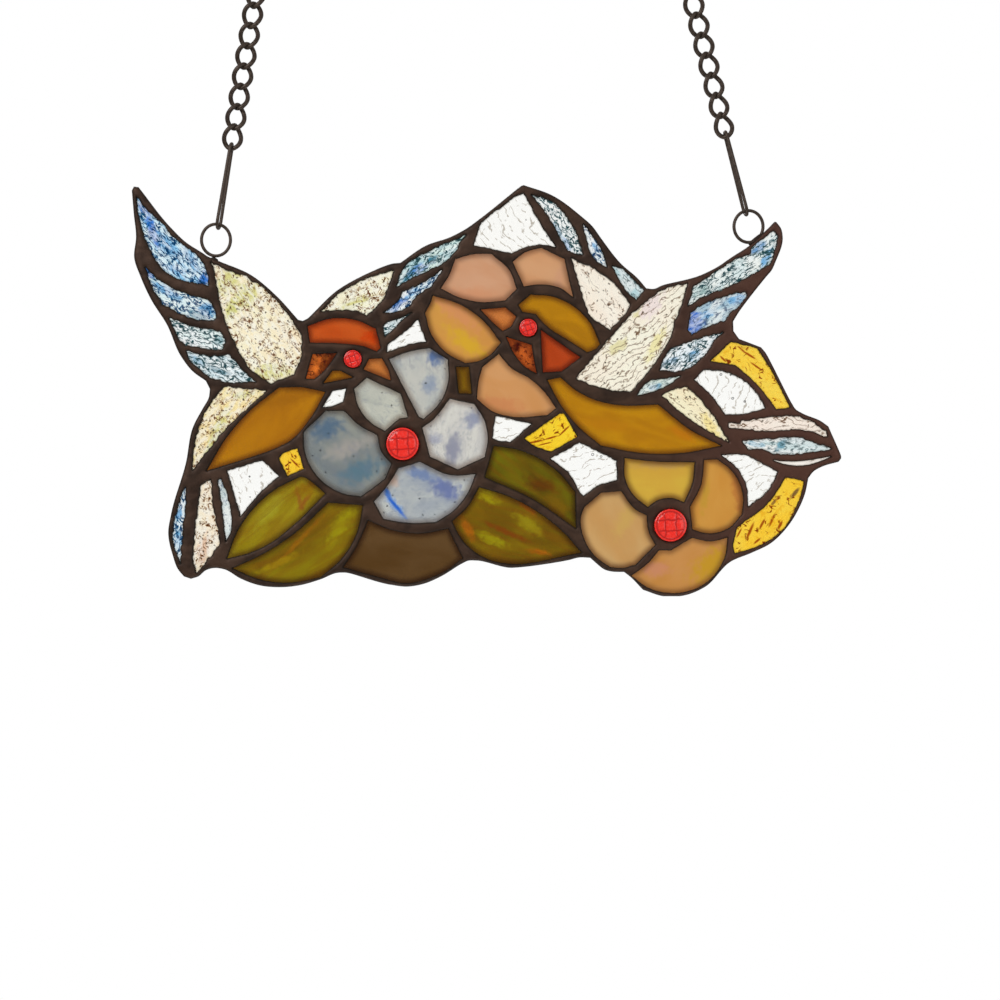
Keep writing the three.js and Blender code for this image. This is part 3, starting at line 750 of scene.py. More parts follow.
# Each effect's group name, what makes it, and its inputs with their defaults
PLACE = {"Vector": (0, 0, 0)}
GRAIN = {**PLACE, "Angle": 0}
EFFECTS = {
    "picture": ("Picture Millimetres", picture, {}),
    "clouds": ("Glass Clouds", clouds, {**GRAIN, "Size": 12, "Stretch": 1, "Sharpness": 0.5, "Seed": 0}),
    "patch": ("Colour Patch", patch, {
        **PLACE, "Centre": (0, 0, 0), "Length": 5, "Width": 5, "Angle": 0, "Ragged": 0.35, "Soft": 0.5}),
    "strokes": ("Wavy Strokes", strokes, {
        **GRAIN, "Spacing": 1.2, "Length": 4, "Cover": 0.5, "Width": 0.05, "Seed": 0}),
    "waves": ("Grain Waves", waves, {
        **GRAIN, "Spacing": 1.6, "Sway": 2.5, "Cover": 0.6, "Width": 0.4, "Seed": 0}),
    "specks": ("Dark Specks", specks, {**PLACE, "Spacing": 1.1, "Radius": 0.35, "Cover": 0.5, "Seed": 0}),
    "bubbles": ("Seed Bubbles", bubbles, {**PLACE, "Spacing": 9, "Radius": 0.5, "Seed": 0}),
    "edge": ("Edge Shade", edge, {"Reach": 3.0}),
}
GROUPS = {}


def make_groups():
    """A shader group for each effect, which puts out a mask, or for the picture a place."""
    for effect, (name, make, inputs) in EFFECTS.items():
        tree = bpy.data.node_groups.new(name, "ShaderNodeTree")
        for label, default in inputs.items():
            kind = "NodeSocketVector" if isinstance(default, tuple) else "NodeSocketFloat"
            tree.interface.new_socket(label, in_out="INPUT", socket_type=kind).default_value = default
        label, kind = ("Vector", "NodeSocketVector") if effect == "picture" else ("Mask", "NodeSocketFloat")
        tree.interface.new_socket(label, in_out="OUTPUT", socket_type=kind)
        w = Wiring(tree)
        sockets = w.node("NodeGroupInput").outputs[:len(inputs)]
        w.node("NodeGroupOutput", (make(w, *(Value(w, socket) for socket in sockets)),))
        GROUPS[effect] = tree


# Materials


def new_material(name, **plain):
    """A material with its wiring and its shader, whose own sockets hold the plain values."""
    material = bpy.data.materials.new(name)
    material.use_nodes = True
    shader = material.node_tree.nodes["Principled BSDF"]
    for label, value in plain.items():
        shader.inputs[label.replace("_", " ")].default_value = value
    return material, Wiring(material.node_tree), shader


def surface(w, shader, colour, roughness, height, strength, distance):
    """Gives the shader its colour, its roughness and a relief of that height."""
    bump = w.out("ShaderNodeBump", "Normal", {"Strength": strength, "Distance": distance, "Height": height})
    for label, value in (("Base Color", colour), ("Roughness", roughness), ("Normal", bump)):
        w.set(shader.inputs[label], value)


def tint(colour, weight):
    """The glass colour that shows as the given one when the panel is lit from behind in the white room."""
    haze = 0.026 - 0.08 * (weight - 0.75)
    once = 0.574 - 0.45 * (weight - 0.75)
    twice = 0.98 - haze - once
    result = []
    for shown in linear(colour):
        clear = max(0.0, shown - haze)
        result.append(min(1.0, (-once + math.sqrt(once * once + 4 * twice * clear)) / (2 * twice)))
    return result + [1.0]


class Sheet:
    """A sheet of glass being coloured, one layer over another."""

    def __init__(self, name, base, weight, roughness):
        self.material, self.w, self.shader = new_material(
            name, Transmission_Weight=weight, Metallic=0.0, IOR=1.46, Roughness=roughness)
        self.weight = weight
        self.roughness = roughness
        self.place = self.w.effect("picture")
        self.colour = tint(base, weight)
        self.height = None

    def over(self, mask, colour, strength, blend="MIX"):
        if strength != 1:
            mask = mask * strength
        self.colour = self.w.mix(mask, self.colour, tint(colour, self.weight), blend)

    def mark(self, effect, colour, strength, *values):
        """Lays an effect over the sheet, with its values in order. Strokes and waves raise the glass too."""
        mask = self.w.effect(effect, self.place, *values)
        self.over(mask, colour, strength)
        if effect in ("strokes", "waves"):
            self.height = mask

    def finish(self, colour, strength, reach, bump):
        """Shades the sheet along its seams and gives it its relief."""
        self.over(self.w.effect("edge", reach), colour, strength, "MULTIPLY")
        ripple = self.w.noise(self.place, 0.35)
        if self.height is not None:
            ripple = ripple + self.height * 0.3
        surface(self.w, self.shader, self.colour, self.roughness, ripple, bump, 0.3 * MM)
        return self.material


# Each kind of sheet: how much light passes straight through, its roughness, the relief of its face and how
# nicked the seam is round it, in millimetres
KINDS = {
    "blue_opal": dict(weight=0.9, roughness=0.12, relief=0.12, nicks=0.6),
    "aqua_opal": dict(weight=0.9, roughness=0.12, relief=0.12, nicks=0.6),
    "cream_opal": dict(weight=0.9, roughness=0.15, relief=0.1, nicks=0.6),
    "clear_seedy": dict(weight=0.98, roughness=0.04, relief=0.08, nicks=0.42),
    "red_orange": dict(weight=0.85, roughness=0.2, relief=0.05, nicks=0.1),
    "amber_brown": dict(weight=0.85, roughness=0.25, relief=0.05, nicks=0.1),
    "yellow_amber": dict(weight=0.92, roughness=0.08, relief=0.1, nicks=0.3),
    "tan_pink": dict(weight=0.75, roughness=0.35, relief=0.05, nicks=0.1),
    "golden_tan": dict(weight=0.75, roughness=0.35, relief=0.05, nicks=0.1),
    "blue_grey": dict(weight=0.8, roughness=0.25, relief=0.06, nicks=0.14),
    "olive_green": dict(weight=0.85, roughness=0.25, relief=0.05, nicks=0.1),
    "dark_brown": dict(weight=0.85, roughness=0.25, relief=0.05, nicks=0.1),
}

ROYAL = (28, 96, 202)
AZURE = (96, 160, 218)
TEAL = (48, 106, 128)
NAVY = (14, 52, 84)
SLATE = (40, 62, 66)
MOSS = (212, 206, 120)
LIME = (200, 198, 104)
UMBER = (104, 76, 48)
SOOT = (52, 42, 34)
RUST = (142, 58, 20)
VIOLET = (134, 136, 153)

FEATHERS = ("blue_opal", "aqua_opal")
MARBLED = (*FEATHERS, "cream_opal", "yellow_amber")
CLEAR = ("clear_seedy", (255, 253, 248), (244, 242, 236), [])

# Each pane: its sheet, its main and second colours, and patches (x, z, length, width, colour, angle)
PANES = {
    "left_wing_feather_1": ("blue_opal", (199, 238, 255), (121, 190, 244), [
        (6.5, 194, 4, 2.2, ROYAL, -50), (11, 183, 9, 2.6, ROYAL, -68), (17, 177, 7, 2.6, AZURE, -50),
        (37, 159, 5, 2.8, ROYAL, 65), (30, 168, 7, 2, AZURE, -55), (22, 164, 6, 1.8, AZURE, -20)]),
    "left_wing_feather_2": ("blue_opal", (228, 252, 250), (168, 214, 230), [
        (9.5, 162, 4, 2, ROYAL, -40), (18, 153, 9, 2, AZURE, -30), (38, 143, 5, 4, (62, 130, 190), 20),
        (33, 141, 6, 2, TEAL, -10)]),
    "left_wing_feather_3": ("aqua_opal", (250, 255, 254), (228, 250, 246), [
        (44, 128, 3, 2.5, (130, 172, 180), 0)]),
    "left_wing_feather_4": ("aqua_opal", (242, 255, 255), (206, 232, 240), [
        (33, 118, 5, 2, (110, 160, 190), -30), (44, 113, 6, 1.6, TEAL, -20)]),
    "left_wing": ("cream_opal", (255, 242, 196), (255, 230, 186), [
        (49, 158, 9, 5, MOSS, 60), (57, 150, 9, 6, MOSS, 50), (50, 143, 6, 2.6, LIME, 80),
        (70, 112, 11, 4.5, MOSS, 10)]),
    "left_rear_wing": ("cream_opal", (255, 250, 210), (255, 240, 194), [(112, 147, 10, 2.4, MOSS, 25)]),
    "left_crown": ("red_orange", (197, 82, 44), (183, 72, 40), [(120, 130, 5, 4, (190, 62, 30), 0)]),
    "left_throat": ("red_orange", (250, 124, 54), (230, 100, 46), [(100, 117.5, 9.6, 7, (84, 46, 32), 70)]),
    "left_cheek": ("amber_brown", (167, 106, 31), (135, 81, 25), []),
    "left_beak": ("amber_brown", (215, 129, 67), (190, 105, 55), []),
    "left_rear_feather": ("aqua_opal", (215, 242, 231), (158, 211, 218), [
        (139, 160, 6, 2.6, (60, 120, 150), 30), (144, 164, 6, 2.6, (70, 120, 196), 30),
        (150, 168, 4, 2, TEAL, 30)]),
    "left_rear_feather_2": ("blue_opal", (246, 255, 255), (186, 226, 244), [
        (133, 146, 6, 2.2, ROYAL, 38), (141, 152, 4, 1.6, AZURE, 38)]),
    "left_rear_feather_3": ("aqua_opal", (246, 255, 255), (218, 238, 242), []),
    "left_belly": ("amber_brown", (175, 110, 21), (161, 98, 15), [(80, 100, 16, 4, (150, 92, 18), 15)]),
    "left_side": ("cream_opal", (255, 230, 158), (254, 216, 146), [
        (44, 84, 12, 3.4, MOSS, 66), (40, 74, 8, 2.4, LIME, 66), (56, 101, 6, 2, MOSS, 10)]),
    "left_tail_feather_1": ("blue_opal", (232, 248, 252), (186, 220, 236), [
        (23.8, 29.5, 5, 1.7, (76, 160, 220), 90), (24, 42, 4, 1.6, AZURE, 85)]),
    "left_tail_feather": ("cream_opal", (255, 240, 204), (255, 228, 192), [
        (36, 24, 8, 3, (222, 180, 150), 80)]),
    "left_tail_feather_3": ("blue_opal", (232, 240, 235), (198, 218, 217), []),
    "clear_diamond": CLEAR,
    "clear_by_left_rear_wing": CLEAR,
    "clear_by_left_tail": CLEAR,
    "clear_top": ("clear_seedy", (255, 252, 246), (244, 242, 236), []),
    "clear_centre": CLEAR,
    "clear_middle": CLEAR,
    "clear_right_upper": CLEAR,
    "clear_right_lower": CLEAR,
    "amber_bit": ("yellow_amber", (255, 202, 60), (254, 190, 50), [(82, 67, 3.4, 0.5, RUST, -45)]),
    "olive_bit": ("olive_green", (125, 97, 33), (97, 74, 23), []),
    "upper_flower_left": ("tan_pink", (212, 156, 120), (204, 142, 104), [
        (170, 151, 15, 4, (210, 142, 104), 0)]),
    "upper_flower_right": ("tan_pink", (214, 155, 111), (208, 143, 99), [
        (214, 158, 8, 3, (208, 148, 112), 80)]),
    "upper_flower_lower": ("golden_tan", (212, 149, 72), (208, 139, 72), [
        (164, 141.5, 16, 4.4, (214, 138, 88), -34), (168, 127, 12, 4.5, (216, 164, 54), -35)]),
    "upper_flower_bottom": ("tan_pink", (215, 152, 99), (207, 140, 85), [
        (186, 96, 12, 4, (206, 130, 84), -10)]),
    "right_beak": ("amber_brown", (203, 113, 62), (186, 100, 52), []),
    "right_chin": ("red_orange", (241, 105, 49), (132, 61, 41), [(193, 125, 3, 2, (60, 30, 22), 60)]),
    "right_crown": ("amber_brown", (179, 118, 28), (160, 104, 21), []),
    "right_throat": ("red_orange", (172, 66, 42), (155, 58, 36), []),
    "right_belly": ("amber_brown", (183, 122, 10), (167, 106, 8), [
        (238, 86, 14, 3, (176, 110, 22), -8), (276, 82, 8, 3, (180, 106, 20), -20)]),
    "right_side": ("cream_opal", (255, 244, 198), (255, 234, 186), [
        (290, 85, 9, 2.6, (252, 226, 142), -58)]),
    "right_wing": ("cream_opal", (255, 248, 222), (255, 240, 214), [
        (243, 125, 6, 3, (228, 218, 158), 30), (255, 142, 5, 2, (226, 214, 150), 30),
        (262, 126, 10, 2.6, (240, 228, 158), 62), (260, 146, 9, 5, (242, 222, 216), 60)]),
    "right_wing_feather_1": ("aqua_opal", (246, 255, 244), (214, 238, 238), [
        (314, 175, 5, 2.4, (90, 140, 200), 40), (318, 170, 6, 2, AZURE, 60),
        (286, 154, 5, 3, (150, 184, 180), 40)]),
    "right_wing_feather_2": ("blue_opal", (204, 222, 222), (150, 186, 206), [
        (281.5, 137, 6, 5, (8, 84, 192), 50), (288, 141, 4, 2, AZURE, 20), (303, 149, 5, 2.4, AZURE, 20)]),
    "right_wing_feather_3": ("aqua_opal", (250, 255, 253), (216, 234, 244), [
        (281, 121, 4, 2, AZURE, 50), (270, 118, 4, 2, (120, 160, 200), 20)]),
    "right_wing_feather_4": ("aqua_opal", (234, 242, 223), (192, 216, 207), [
        (262, 105, 4, 1.6, (110, 158, 190), 20)]),
    "right_rear_wing": ("cream_opal", (255, 244, 224), (252, 234, 210), []),
    "right_rear_feather": ("aqua_opal", (255, 255, 248), (244, 250, 246), [
        (213, 183, 5, 2.2, (116, 160, 196), -58), (218, 176, 4, 1.6, (84, 134, 200), -58)]),
    "right_rear_feather_2": ("blue_opal", (252, 255, 250), (222, 240, 242), [
        (232, 175, 3, 1.3, AZURE, -60)]),
    "right_rear_feather_3": ("aqua_opal", (215, 230, 229), (164, 203, 210), []),
    "right_tail_feather_1": ("cream_opal", (255, 240, 222), (255, 232, 214), []),
    "right_tail_feather_2": ("aqua_opal", (245, 245, 238), (196, 221, 222), [
        (312, 76.5, 5, 1.4, (110, 164, 190), -10), (325, 76, 4, 2, (90, 140, 160), 50)]),
    "right_tail_feather_3": ("clear_seedy", (248, 240, 228), (226, 224, 216), []),
    "amber_right_upper": ("yellow_amber", (255, 206, 70), (255, 196, 58), [
        (296, 119, 2.4, 0.5, RUST, -45), (309, 121, 5, 0.6, RUST, -32), (313, 115, 4.4, 0.5, RUST, -36),
        (305, 124, 2.4, 0.4, RUST, -40)]),
    "amber_right_lower": ("yellow_amber", (255, 200, 60), (255, 188, 48), [
        (309.5, 33, 5, 0.8, RUST, 66), (304, 32, 3, 0.5, RUST, 62), (315.5, 36.5, 3.2, 0.7, RUST, 62),
        (320.5, 38.5, 4, 0.7, RUST, 66), (324.5, 36, 2.6, 0.8, RUST, 62), (313, 28, 2.6, 0.6, RUST, 40),
        (321.5, 47.5, 2.6, 0.8, UMBER, 50), (332, 52, 3.6, 1.1, UMBER, 50)]),
    "yellow_centre": ("yellow_amber", (255, 204, 50), (255, 192, 42), [
        (202, 77.6, 4.6, 0.6, RUST, 12), (210, 79.6, 4.4, 0.5, RUST, 16), (216.5, 83, 4, 0.5, RUST, 44),
        (207, 76.6, 4, 0.4, RUST, 14)]),
    "blue_flower_left": ("blue_grey", (137, 140, 132), (112, 119, 121), [
        (98, 84, 9, 6, (82, 102, 122), 20), (115, 63, 12, 5.5, (86, 112, 126), 20),
        (121, 80, 8, 4, (146, 143, 136), 30), (107, 74, 10, 4.5, (152, 147, 140), 20)]),
    "blue_flower_upper": ("blue_grey", (193, 194, 178), (170, 173, 162), []),
    "blue_flower_top": ("blue_grey", (194, 193, 182), (163, 169, 168), [
        (152.4, 120, 4.6, 4.4, (82, 104, 148), -30), (149.5, 106, 5, 4, (138, 150, 168), 60)]),
    "blue_flower_right": ("blue_grey", (220, 217, 205), (190, 189, 185), [
        (161, 74, 9, 4, VIOLET, 80), (171, 89, 6, 4, (136, 142, 164), 40),
        (152, 79, 4, 3, (164, 166, 178), 0)]),
    "blue_flower_bottom": ("blue_grey", (183, 187, 182), (149, 158, 168), [
        (157, 54, 9, 5, (100, 112, 160), -25), (145, 61.5, 9, 3, (108, 126, 166), -20),
        (131, 58, 3, 3, (196, 172, 156), 0), (131.5, 46.5, 9, 2.2, (126, 158, 210), -50),
        (132, 46, 9, 1, (34, 90, 196), -50), (128.5, 52, 4, 1.2, (60, 104, 190), -60)]),
    "gold_flower_top": ("golden_tan", (216, 173, 67), (210, 158, 65), [
        (264, 66, 14, 2.4, (196, 150, 80), 0)]),
    "gold_flower_right": ("golden_tan", (211, 147, 70), (205, 137, 64), [
        (303, 52, 12, 2.6, (190, 118, 62), -80), (287, 50, 9, 2, (196, 146, 60), 80)]),
    "gold_flower_bottom": ("tan_pink", (206, 142, 83), (196, 130, 69), [
        (290, 16, 12, 7, (198, 146, 50), 40), (262, 14, 8, 4, (204, 132, 96), 0)]),
    "gold_flower_left": ("golden_tan", (206, 159, 101), (200, 147, 89), [
        (248, 40, 12, 4, (204, 160, 88), 60)]),
    "leaf_left_upper": ("olive_green", (144, 126, 40), (130, 110, 32), [
        (84, 50, 7, 1.3, (134, 82, 42), -75), (87, 48, 6, 1.3, (136, 84, 42), 55),
        (88, 54, 7, 4, (132, 100, 34), 20), (70, 44, 12, 3.4, (148, 138, 44), 50)]),
    "leaf_left_lower": ("olive_green", (126, 110, 36), (104, 82, 30), [
        (84, 28, 20, 1.3, (138, 92, 34), 47), (104, 34, 12, 4, (142, 130, 34), 60),
        (74, 17, 12, 2, (146, 120, 36), 25)]),
    "leaf_right_upper": ("olive_green", (102, 95, 34), (84, 75, 25), [
        (205, 56, 9, 4, (84, 56, 26), -15), (213, 46, 8, 4, (108, 82, 26), -50)]),
    "leaf_right_lower": ("olive_green", (121, 97, 23), (98, 78, 17), [
        (178, 51, 7, 3, (150, 140, 36), -30), (180, 29, 9, 2.6, (142, 134, 32), -22),
        (199, 36, 9, 3, (138, 124, 38), -35), (188, 32.5, 13, 1.5, (112, 62, 24), -23),
        (168.5, 34, 7, 2.4, (158, 88, 30), -62), (198, 44.5, 7, 1.4, (148, 86, 30), -36),
        (204, 22.5, 6, 1.4, (158, 88, 32), -12)]),
    "brown_between_leaves": ("dark_brown", (89, 68, 48), (80, 60, 42), []),
}

# The turn of a sheet's grain, in degrees from the long axis of its pane, where it isn't 0
GRAIN_TURNS = {
    "right_wing": -13, "clear_top": -60, "clear_right_upper": 105, "clear_middle": 40,
    "clear_right_lower": 75, "clear_by_left_tail": 50, "amber_right_upper": 20, "amber_right_lower": 12,
}


def grain_angle(name, window):
    """The angle in degrees of the grain of a pane, from the long axis of its outline."""
    spread = np.cov((window - window.mean(axis=0)).T)
    x, z = np.linalg.eigh(spread)[1][:, 1]
    return math.degrees(math.atan(z / x)) + GRAIN_TURNS.get(name, 0)


def lay_second_colour(sheet, kind, colour, seed, angle):
    """The second colour of a sheet as clouds, or the seeds and reams of clear glass."""
    if kind == "clear_seedy":
        sheet.mark("waves", (134, 122, 104), 0.7, angle, 4.4, 5, 0.55, 0.36, seed)
        sheet.mark("strokes", (140, 128, 110), 0.7, angle, 3.4, 9, 0.2, 0.035, seed + 3)
        sheet.mark("bubbles", (64, 62, 60), 0.9, 6, 0.42, seed * 13.7)
    elif kind in FEATHERS:
        sheet.mark("clouds", colour, 0.9, angle, 5.0, 2.4, 0.7, seed)
    else:
        sheet.mark("clouds", colour, 1, angle, 11, 2.2, 0.3, seed)


CALM_FEATHERS = (
    "right_tail_feather_2", "right_wing_feather_4", "right_wing_feather_2", "right_rear_feather_3",
    "left_tail_feather_3",
)
CALM = 0.75


def lay_marks(sheet, name, kind, seed, angle):
    """The marks that lie over a pane's colours, each with its strength and its effect's values."""
    if kind in FEATHERS:
        dark = NAVY if kind == "blue_opal" else SLATE
        busy = CALM if name in CALM_FEATHERS else 1
        sheet.mark("clouds", (246, 252, 252), 0.55, angle, 3.0, 2.6, 0.6, seed + 60)
        sheet.mark("waves", dark, 0.95 * busy, angle, 2.3, 4, 0.55 * busy, 0.36, seed)
        sheet.mark("strokes", dark, busy, angle, 1.25, 6, 0.62 * busy, 0.046, seed)
        sheet.mark("strokes", dark, busy, angle + 25, 1.8, 4.5, 0.35 * busy, 0.045, seed + 17)
    elif name in ("right_wing", "right_tail_feather_1"):
        sheet.mark("waves", (84, 60, 40), 0.75, angle, 3.0, 5.0, 0.66, 0.3, seed)
        sheet.mark("strokes", (92, 64, 42), 0.9, angle + 8, 1.9, 9, 0.4, 0.034, seed + 5)
        sheet.mark("specks", SOOT, 1, 2.8, 0.5, 0.42, seed * 3.1)
    elif name in ("right_rear_wing", "right_side"):
        sheet.mark("waves", (92, 64, 44), 0.75, angle, 5.5, 4.0, 0.4, 0.34, seed)
        sheet.mark("strokes", (96, 66, 44), 0.9, angle, 2.1, 5, 0.34, 0.042, seed + 5)
        sheet.mark("specks", SOOT, 1, 2.5, 0.52, 0.5, seed * 3.1)
    elif kind == "cream_opal":
        sheet.mark("clouds", (255, 252, 240), 0.6, angle, 2.4, 2.0, 0.6, seed + 60)
        sheet.mark("strokes", (90, 56, 36), 1, angle, 1.15, 2.6, 0.46, 0.05, seed)
        sheet.mark("specks", SOOT, 1, 1.7, 0.48, 0.42, seed * 3.1)
    elif kind == "yellow_amber":
        sheet.mark("strokes", (226, 142, 30), 0.5, angle, 2.2, 8, 0.4, 0.05, seed)
        sheet.mark("strokes", (116, 50, 18), 1, angle, 2.6, 4, 0.34, 0.036, seed + 7)
        sheet.mark("bubbles", (96, 52, 16), 0.9, 9, 0.6, seed * 5.3)
    elif kind == "blue_grey":
        sheet.mark("strokes", (108, 116, 134), 0.22, angle, 2.4, 8, 0.5, 0.05, seed)
        sheet.mark("specks", (52, 54, 58), 0.95, 4.0, 0.5, 0.85, seed * 3.1)
    elif kind == "olive_green":
        sheet.mark("clouds", (112, 66, 24), 0.35, angle, 3.2, 7, 0.55, seed + 10)
    elif name in ("left_throat", "right_chin"):
        sheet.mark("clouds", (206, 88, 44), 0.2, 75, 1.3, 5, 0.7, seed + 4)
        sheet.mark("strokes", (70, 30, 22), 0.85, -8, 1.7, 3, 0.4, 0.06, seed)


# The shade along a pane's seams: its colour, strength and reach in millimetres, then the relief of the face
THIN_EDGE = ((150, 146, 140), 0.6, 0.9, 0.2)
PALE_EDGE = ((110, 82, 66), 0.62, 4.0, 0.08)
DEEP_EDGE = ((110, 82, 66), 0.8, 4.0, 0.08)
PATCH_STRENGTH = 0.95
LINE_WIDTH = 1.3
LINE_RAGGED = 0.06
PATCH_RAGGED = 0.2
CALM_SOFT = 0.9
MARBLED_SOFT = 0.6


def pane_material(name, seed, window):
    """One pane's own sheet of glass."""
    kind, base, second, patches = PANES[name]
    angle = grain_angle(name, window)
    sheet = Sheet(name + "_sheet", base, KINDS[kind]["weight"], KINDS[kind]["roughness"])
    lay_second_colour(sheet, kind, second, seed, angle)
    soft = MARBLED_SOFT if kind in MARBLED else CALM_SOFT
    for x, z, length, width, colour, turn in patches:
        ragged = LINE_RAGGED if width < LINE_WIDTH else PATCH_RAGGED
        sheet.mark("patch", colour, PATCH_STRENGTH, (x, 0, z), length, width, turn, ragged, soft)
    lay_marks(sheet, name, kind, seed, angle)
    if kind in MARBLED or kind == "clear_seedy":
        return sheet.finish(*THIN_EDGE)
    return sheet.finish(*(PALE_EDGE if kind in ("tan_pink", "blue_grey") else DEEP_EDGE))


def seam_material(patina):
    """Hand-run solder under a dark brown patina, mottled, redder to the right and darker along the glass."""
    material, w, shader = new_material("solder_patina", Metallic=0.35, Specular_IOR_Level=0.3)
    place = w.effect("picture")
    fine = w.noise(place, 1.4, 4.0)
    colour = w.mix(w.effect("clouds", place, 0, 9, 1.5, 0.5, 3) * 0.75, [*patina, 1], opaque(84, 61, 47))
    colour = w.mix(w.ramp(fine, 0.5, 0.75, 0.0, 0.4), colour, opaque(44, 34, 30))
    colour = w.mix(w.ramp(w.parts(place)[0], 230.0, 330.0) * 0.7, colour, opaque(98, 62, 50))
    # Painted shade: the solder darkens towards the glass, where its bead curves away from the light.
    colour = w.mix(w.effect("edge", 1.3) * 0.75, colour, opaque(34, 33, 28))
    roughness = w.ramp(w.noise(place, 0.6, 3.0), 0.3, 0.7, 0.38, 0.6)
    surface(w, shader, colour, roughness, w.noise(place, 0.5, 3.0) + fine * 0.25, 0.2, 0.4 * MM)
    return material


def wire_material(tone):
    """Steel wire under the same patina, greyer here and there."""
    material, w, shader = new_material("wire_patina", Metallic=0.5)
    place = w.effect("picture")
    fine = w.noise(place, 0.7)
    colour = w.mix(w.ramp(fine, 0.35, 0.7), [*tone, 1], opaque(90, 76, 66))
    surface(w, shader, colour, w.ramp(fine, 0.3, 0.7, 0.3, 0.5), w.noise(place, 2.5, 3.0), 0.25, 0.2 * MM)
    return material


def jewel_material(colour):
    """Clear red pressed glass, darker in the grooves between its facets."""
    material, w, shader = new_material(
        "ruby_glass", Transmission_Weight=0.9, Metallic=0.0, Roughness=0.12, IOR=1.5)
    fleck = w.ramp(w.noise(w.effect("picture"), 0.9, 3.0), 0.5, 0.72, 0.0, 0.55)
    red = w.mix(fleck, [*colour, 1], [min(1, c * 1.05 + 0.12) for c in colour] + [1])
    # Painted shade: the grooves between the facets are darkened in the colour.
    groove = w.out("ShaderNodeAttribute", "Fac", attribute_name="groove")
    red = w.mix(groove, red, [colour[0] * 0.2, colour[1] * 0.1, colour[2] * 0.25, 1])
    w.set(shader.inputs["Base Color"], red)
    return material


def floor_material(colour):
    """Pale paint, very slightly uneven."""
    material, w, shader = new_material("pale_floor", Roughness=0.8)
    cloud = w.noise(w.out("ShaderNodeTexCoord", "Object"), 30.0, 3.0)
    w.set(shader.inputs["Base Color"], w.mix(cloud, [*colour, 1], [c * 0.96 for c in colour] + [1]))
    return material


# Building


def dome(distance, radius):
    """The rise of a round bead, from 0 at its foot to 1 at a radius from it."""
    return np.sqrt(1 - (1 - np.minimum(distance / radius, 1)) ** 2)


def build_seams(settings):
    """The soldered seams: one lattice with a rounded bead before and behind the glass."""
    panes, rim = windows()
    holes = list(panes.values())
    loops = [rim] + holes
    rim_tree, hole_tree = tree_of([rim]), tree_of(holes)
    spacing = settings.seam_grain / MM
    grid = grid_over(rim, spacing, spacing * GRID_ROW_SHARE)
    grid[1::2, :, 0] += spacing / 2
    rows = [(grid.reshape(-1, 2), GRID_GAP)]
    for offset, gap in EDGE_ROWS:
        rows.append((moved_out(rim, -offset), gap))
        rows += [(moved_out(hole, offset), gap) for hole in holes]
    kept = []
    for points, gap in rows:
        points = points[inside(points, rim)]
        kept.append(points[np.minimum(distances(rim_tree, points), distances(hole_tree, points)) > gap])
    extra = np.concatenate(kept)
    covered = np.any([inside(extra, hole) for hole in holes], axis=0)
    points, faces = triangulated(loops, extra[~covered])
    to_hole, to_rim = distances(hole_tree, points), distances(rim_tree, points)
    crest = settings.seam_crest / MM
    half = np.minimum(
        SEAM_FOOT + (crest - SEAM_FOOT) * dome(to_hole, BEAD_RADIUS),
        RIM_FOOT + (crest - RIM_FOOT) * dome(to_rim, RIM_BEAD_RADIUS),
    )
    to_edge = np.minimum(to_hole, to_rim)
    swell = np.clip(to_edge / SWELL_START, 0, 1) * (settings.seam_unevenness / MM)
    front, back = uneven(points, (1, 5.5, 1), (0.5, 2.4, 2)), uneven(points, (1, 6.5, 3), (0.5, 2.9, 4))
    front_y = -np.minimum(half - swell * (SWELL_SHARE - SWELL_SHARE * front), crest)
    back_y = np.minimum(half - swell * (SWELL_SHARE - SWELL_SHARE * back), crest)
    solid = slab(points, faces, front_y, back_y)
    piece = new_piece("seams", *solid, seam_material(settings.patina), "solder", ["solder_seams"])
    # The distance to the nearest edge, which the solder's material turns into painted shade along the glass.
    give_values(piece, "edge_distance", np.tile(to_edge[np.unique(faces)], 2))


def build_panes(settings):
    """Every pane as a sheet with a rippled surface, its edge held under the seams."""
    panes, _ = windows()
    for seed, name in enumerate(PANES):
        window, kind = panes[name], PANES[name][0]
        tree = tree_of([window])
        size = (window.max(axis=0) - window.min(axis=0)).max()
        spacing = LARGE_SPACING if size > LARGE_PANE else SMALL_SPACING
        extra = [window]
        for points, gap in (
            (grid_over(window, spacing, spacing).reshape(-1, 2), FACE_GAP),
            (moved_out(window, -INNER_ROW), INNER_ROW_GAP),
        ):
            points = points[inside(points, window)]
            if len(points):
                extra.insert(-1, points[distances(tree, points) > gap])
        points, faces = triangulated([moved_out(window, GLASS_TUCK)], np.concatenate(extra))
        relief = KINDS[kind]["relief"]
        front = -GLASS_HALF + relief * uneven(points, (1, 7, seed))
        back = GLASS_HALF - BACK_RELIEF * relief * uneven(points, (1, 9, seed + 50))
        edge_distance = np.where(inside(points, window), distances(tree, points), 0.0)
        nodes = [name] if name in frame["nodes"] else []
        solid = slab(points, faces, front, back)
        piece = new_piece(name + "_glass", *solid, pane_material(name, seed, window), kind, nodes)
        give_values(piece, "edge_distance", np.tile(edge_distance[np.unique(faces)], 2))


def groove_at(reach, angle, width):
    """How deep the jewel's face is in a groove: 0 on a facet, 1 in the middle of a groove."""
    u, v = reach * math.sin(angle), reach * math.cos(angle)
    u += GROOVE_WAVER * wobble(9 * u, 9 * v, 3.0, 21)
    v += GROOVE_WAVER * wobble(9 * u, 9 * v, 3.0, 22)
    bulge = 1 + GROOVE_BULGE * v * v
    to_rim = abs(reach - RIM_GROOVE_PLACE)
    nearest = min(abs(abs(u) - GROOVE_PLACE * bulge), abs(abs(v) - GROOVE_PLACE), to_rim)
    return max(0.0, 1 - (to_rim if reach > RIM_GROOVE_PLACE else nearest) / width)


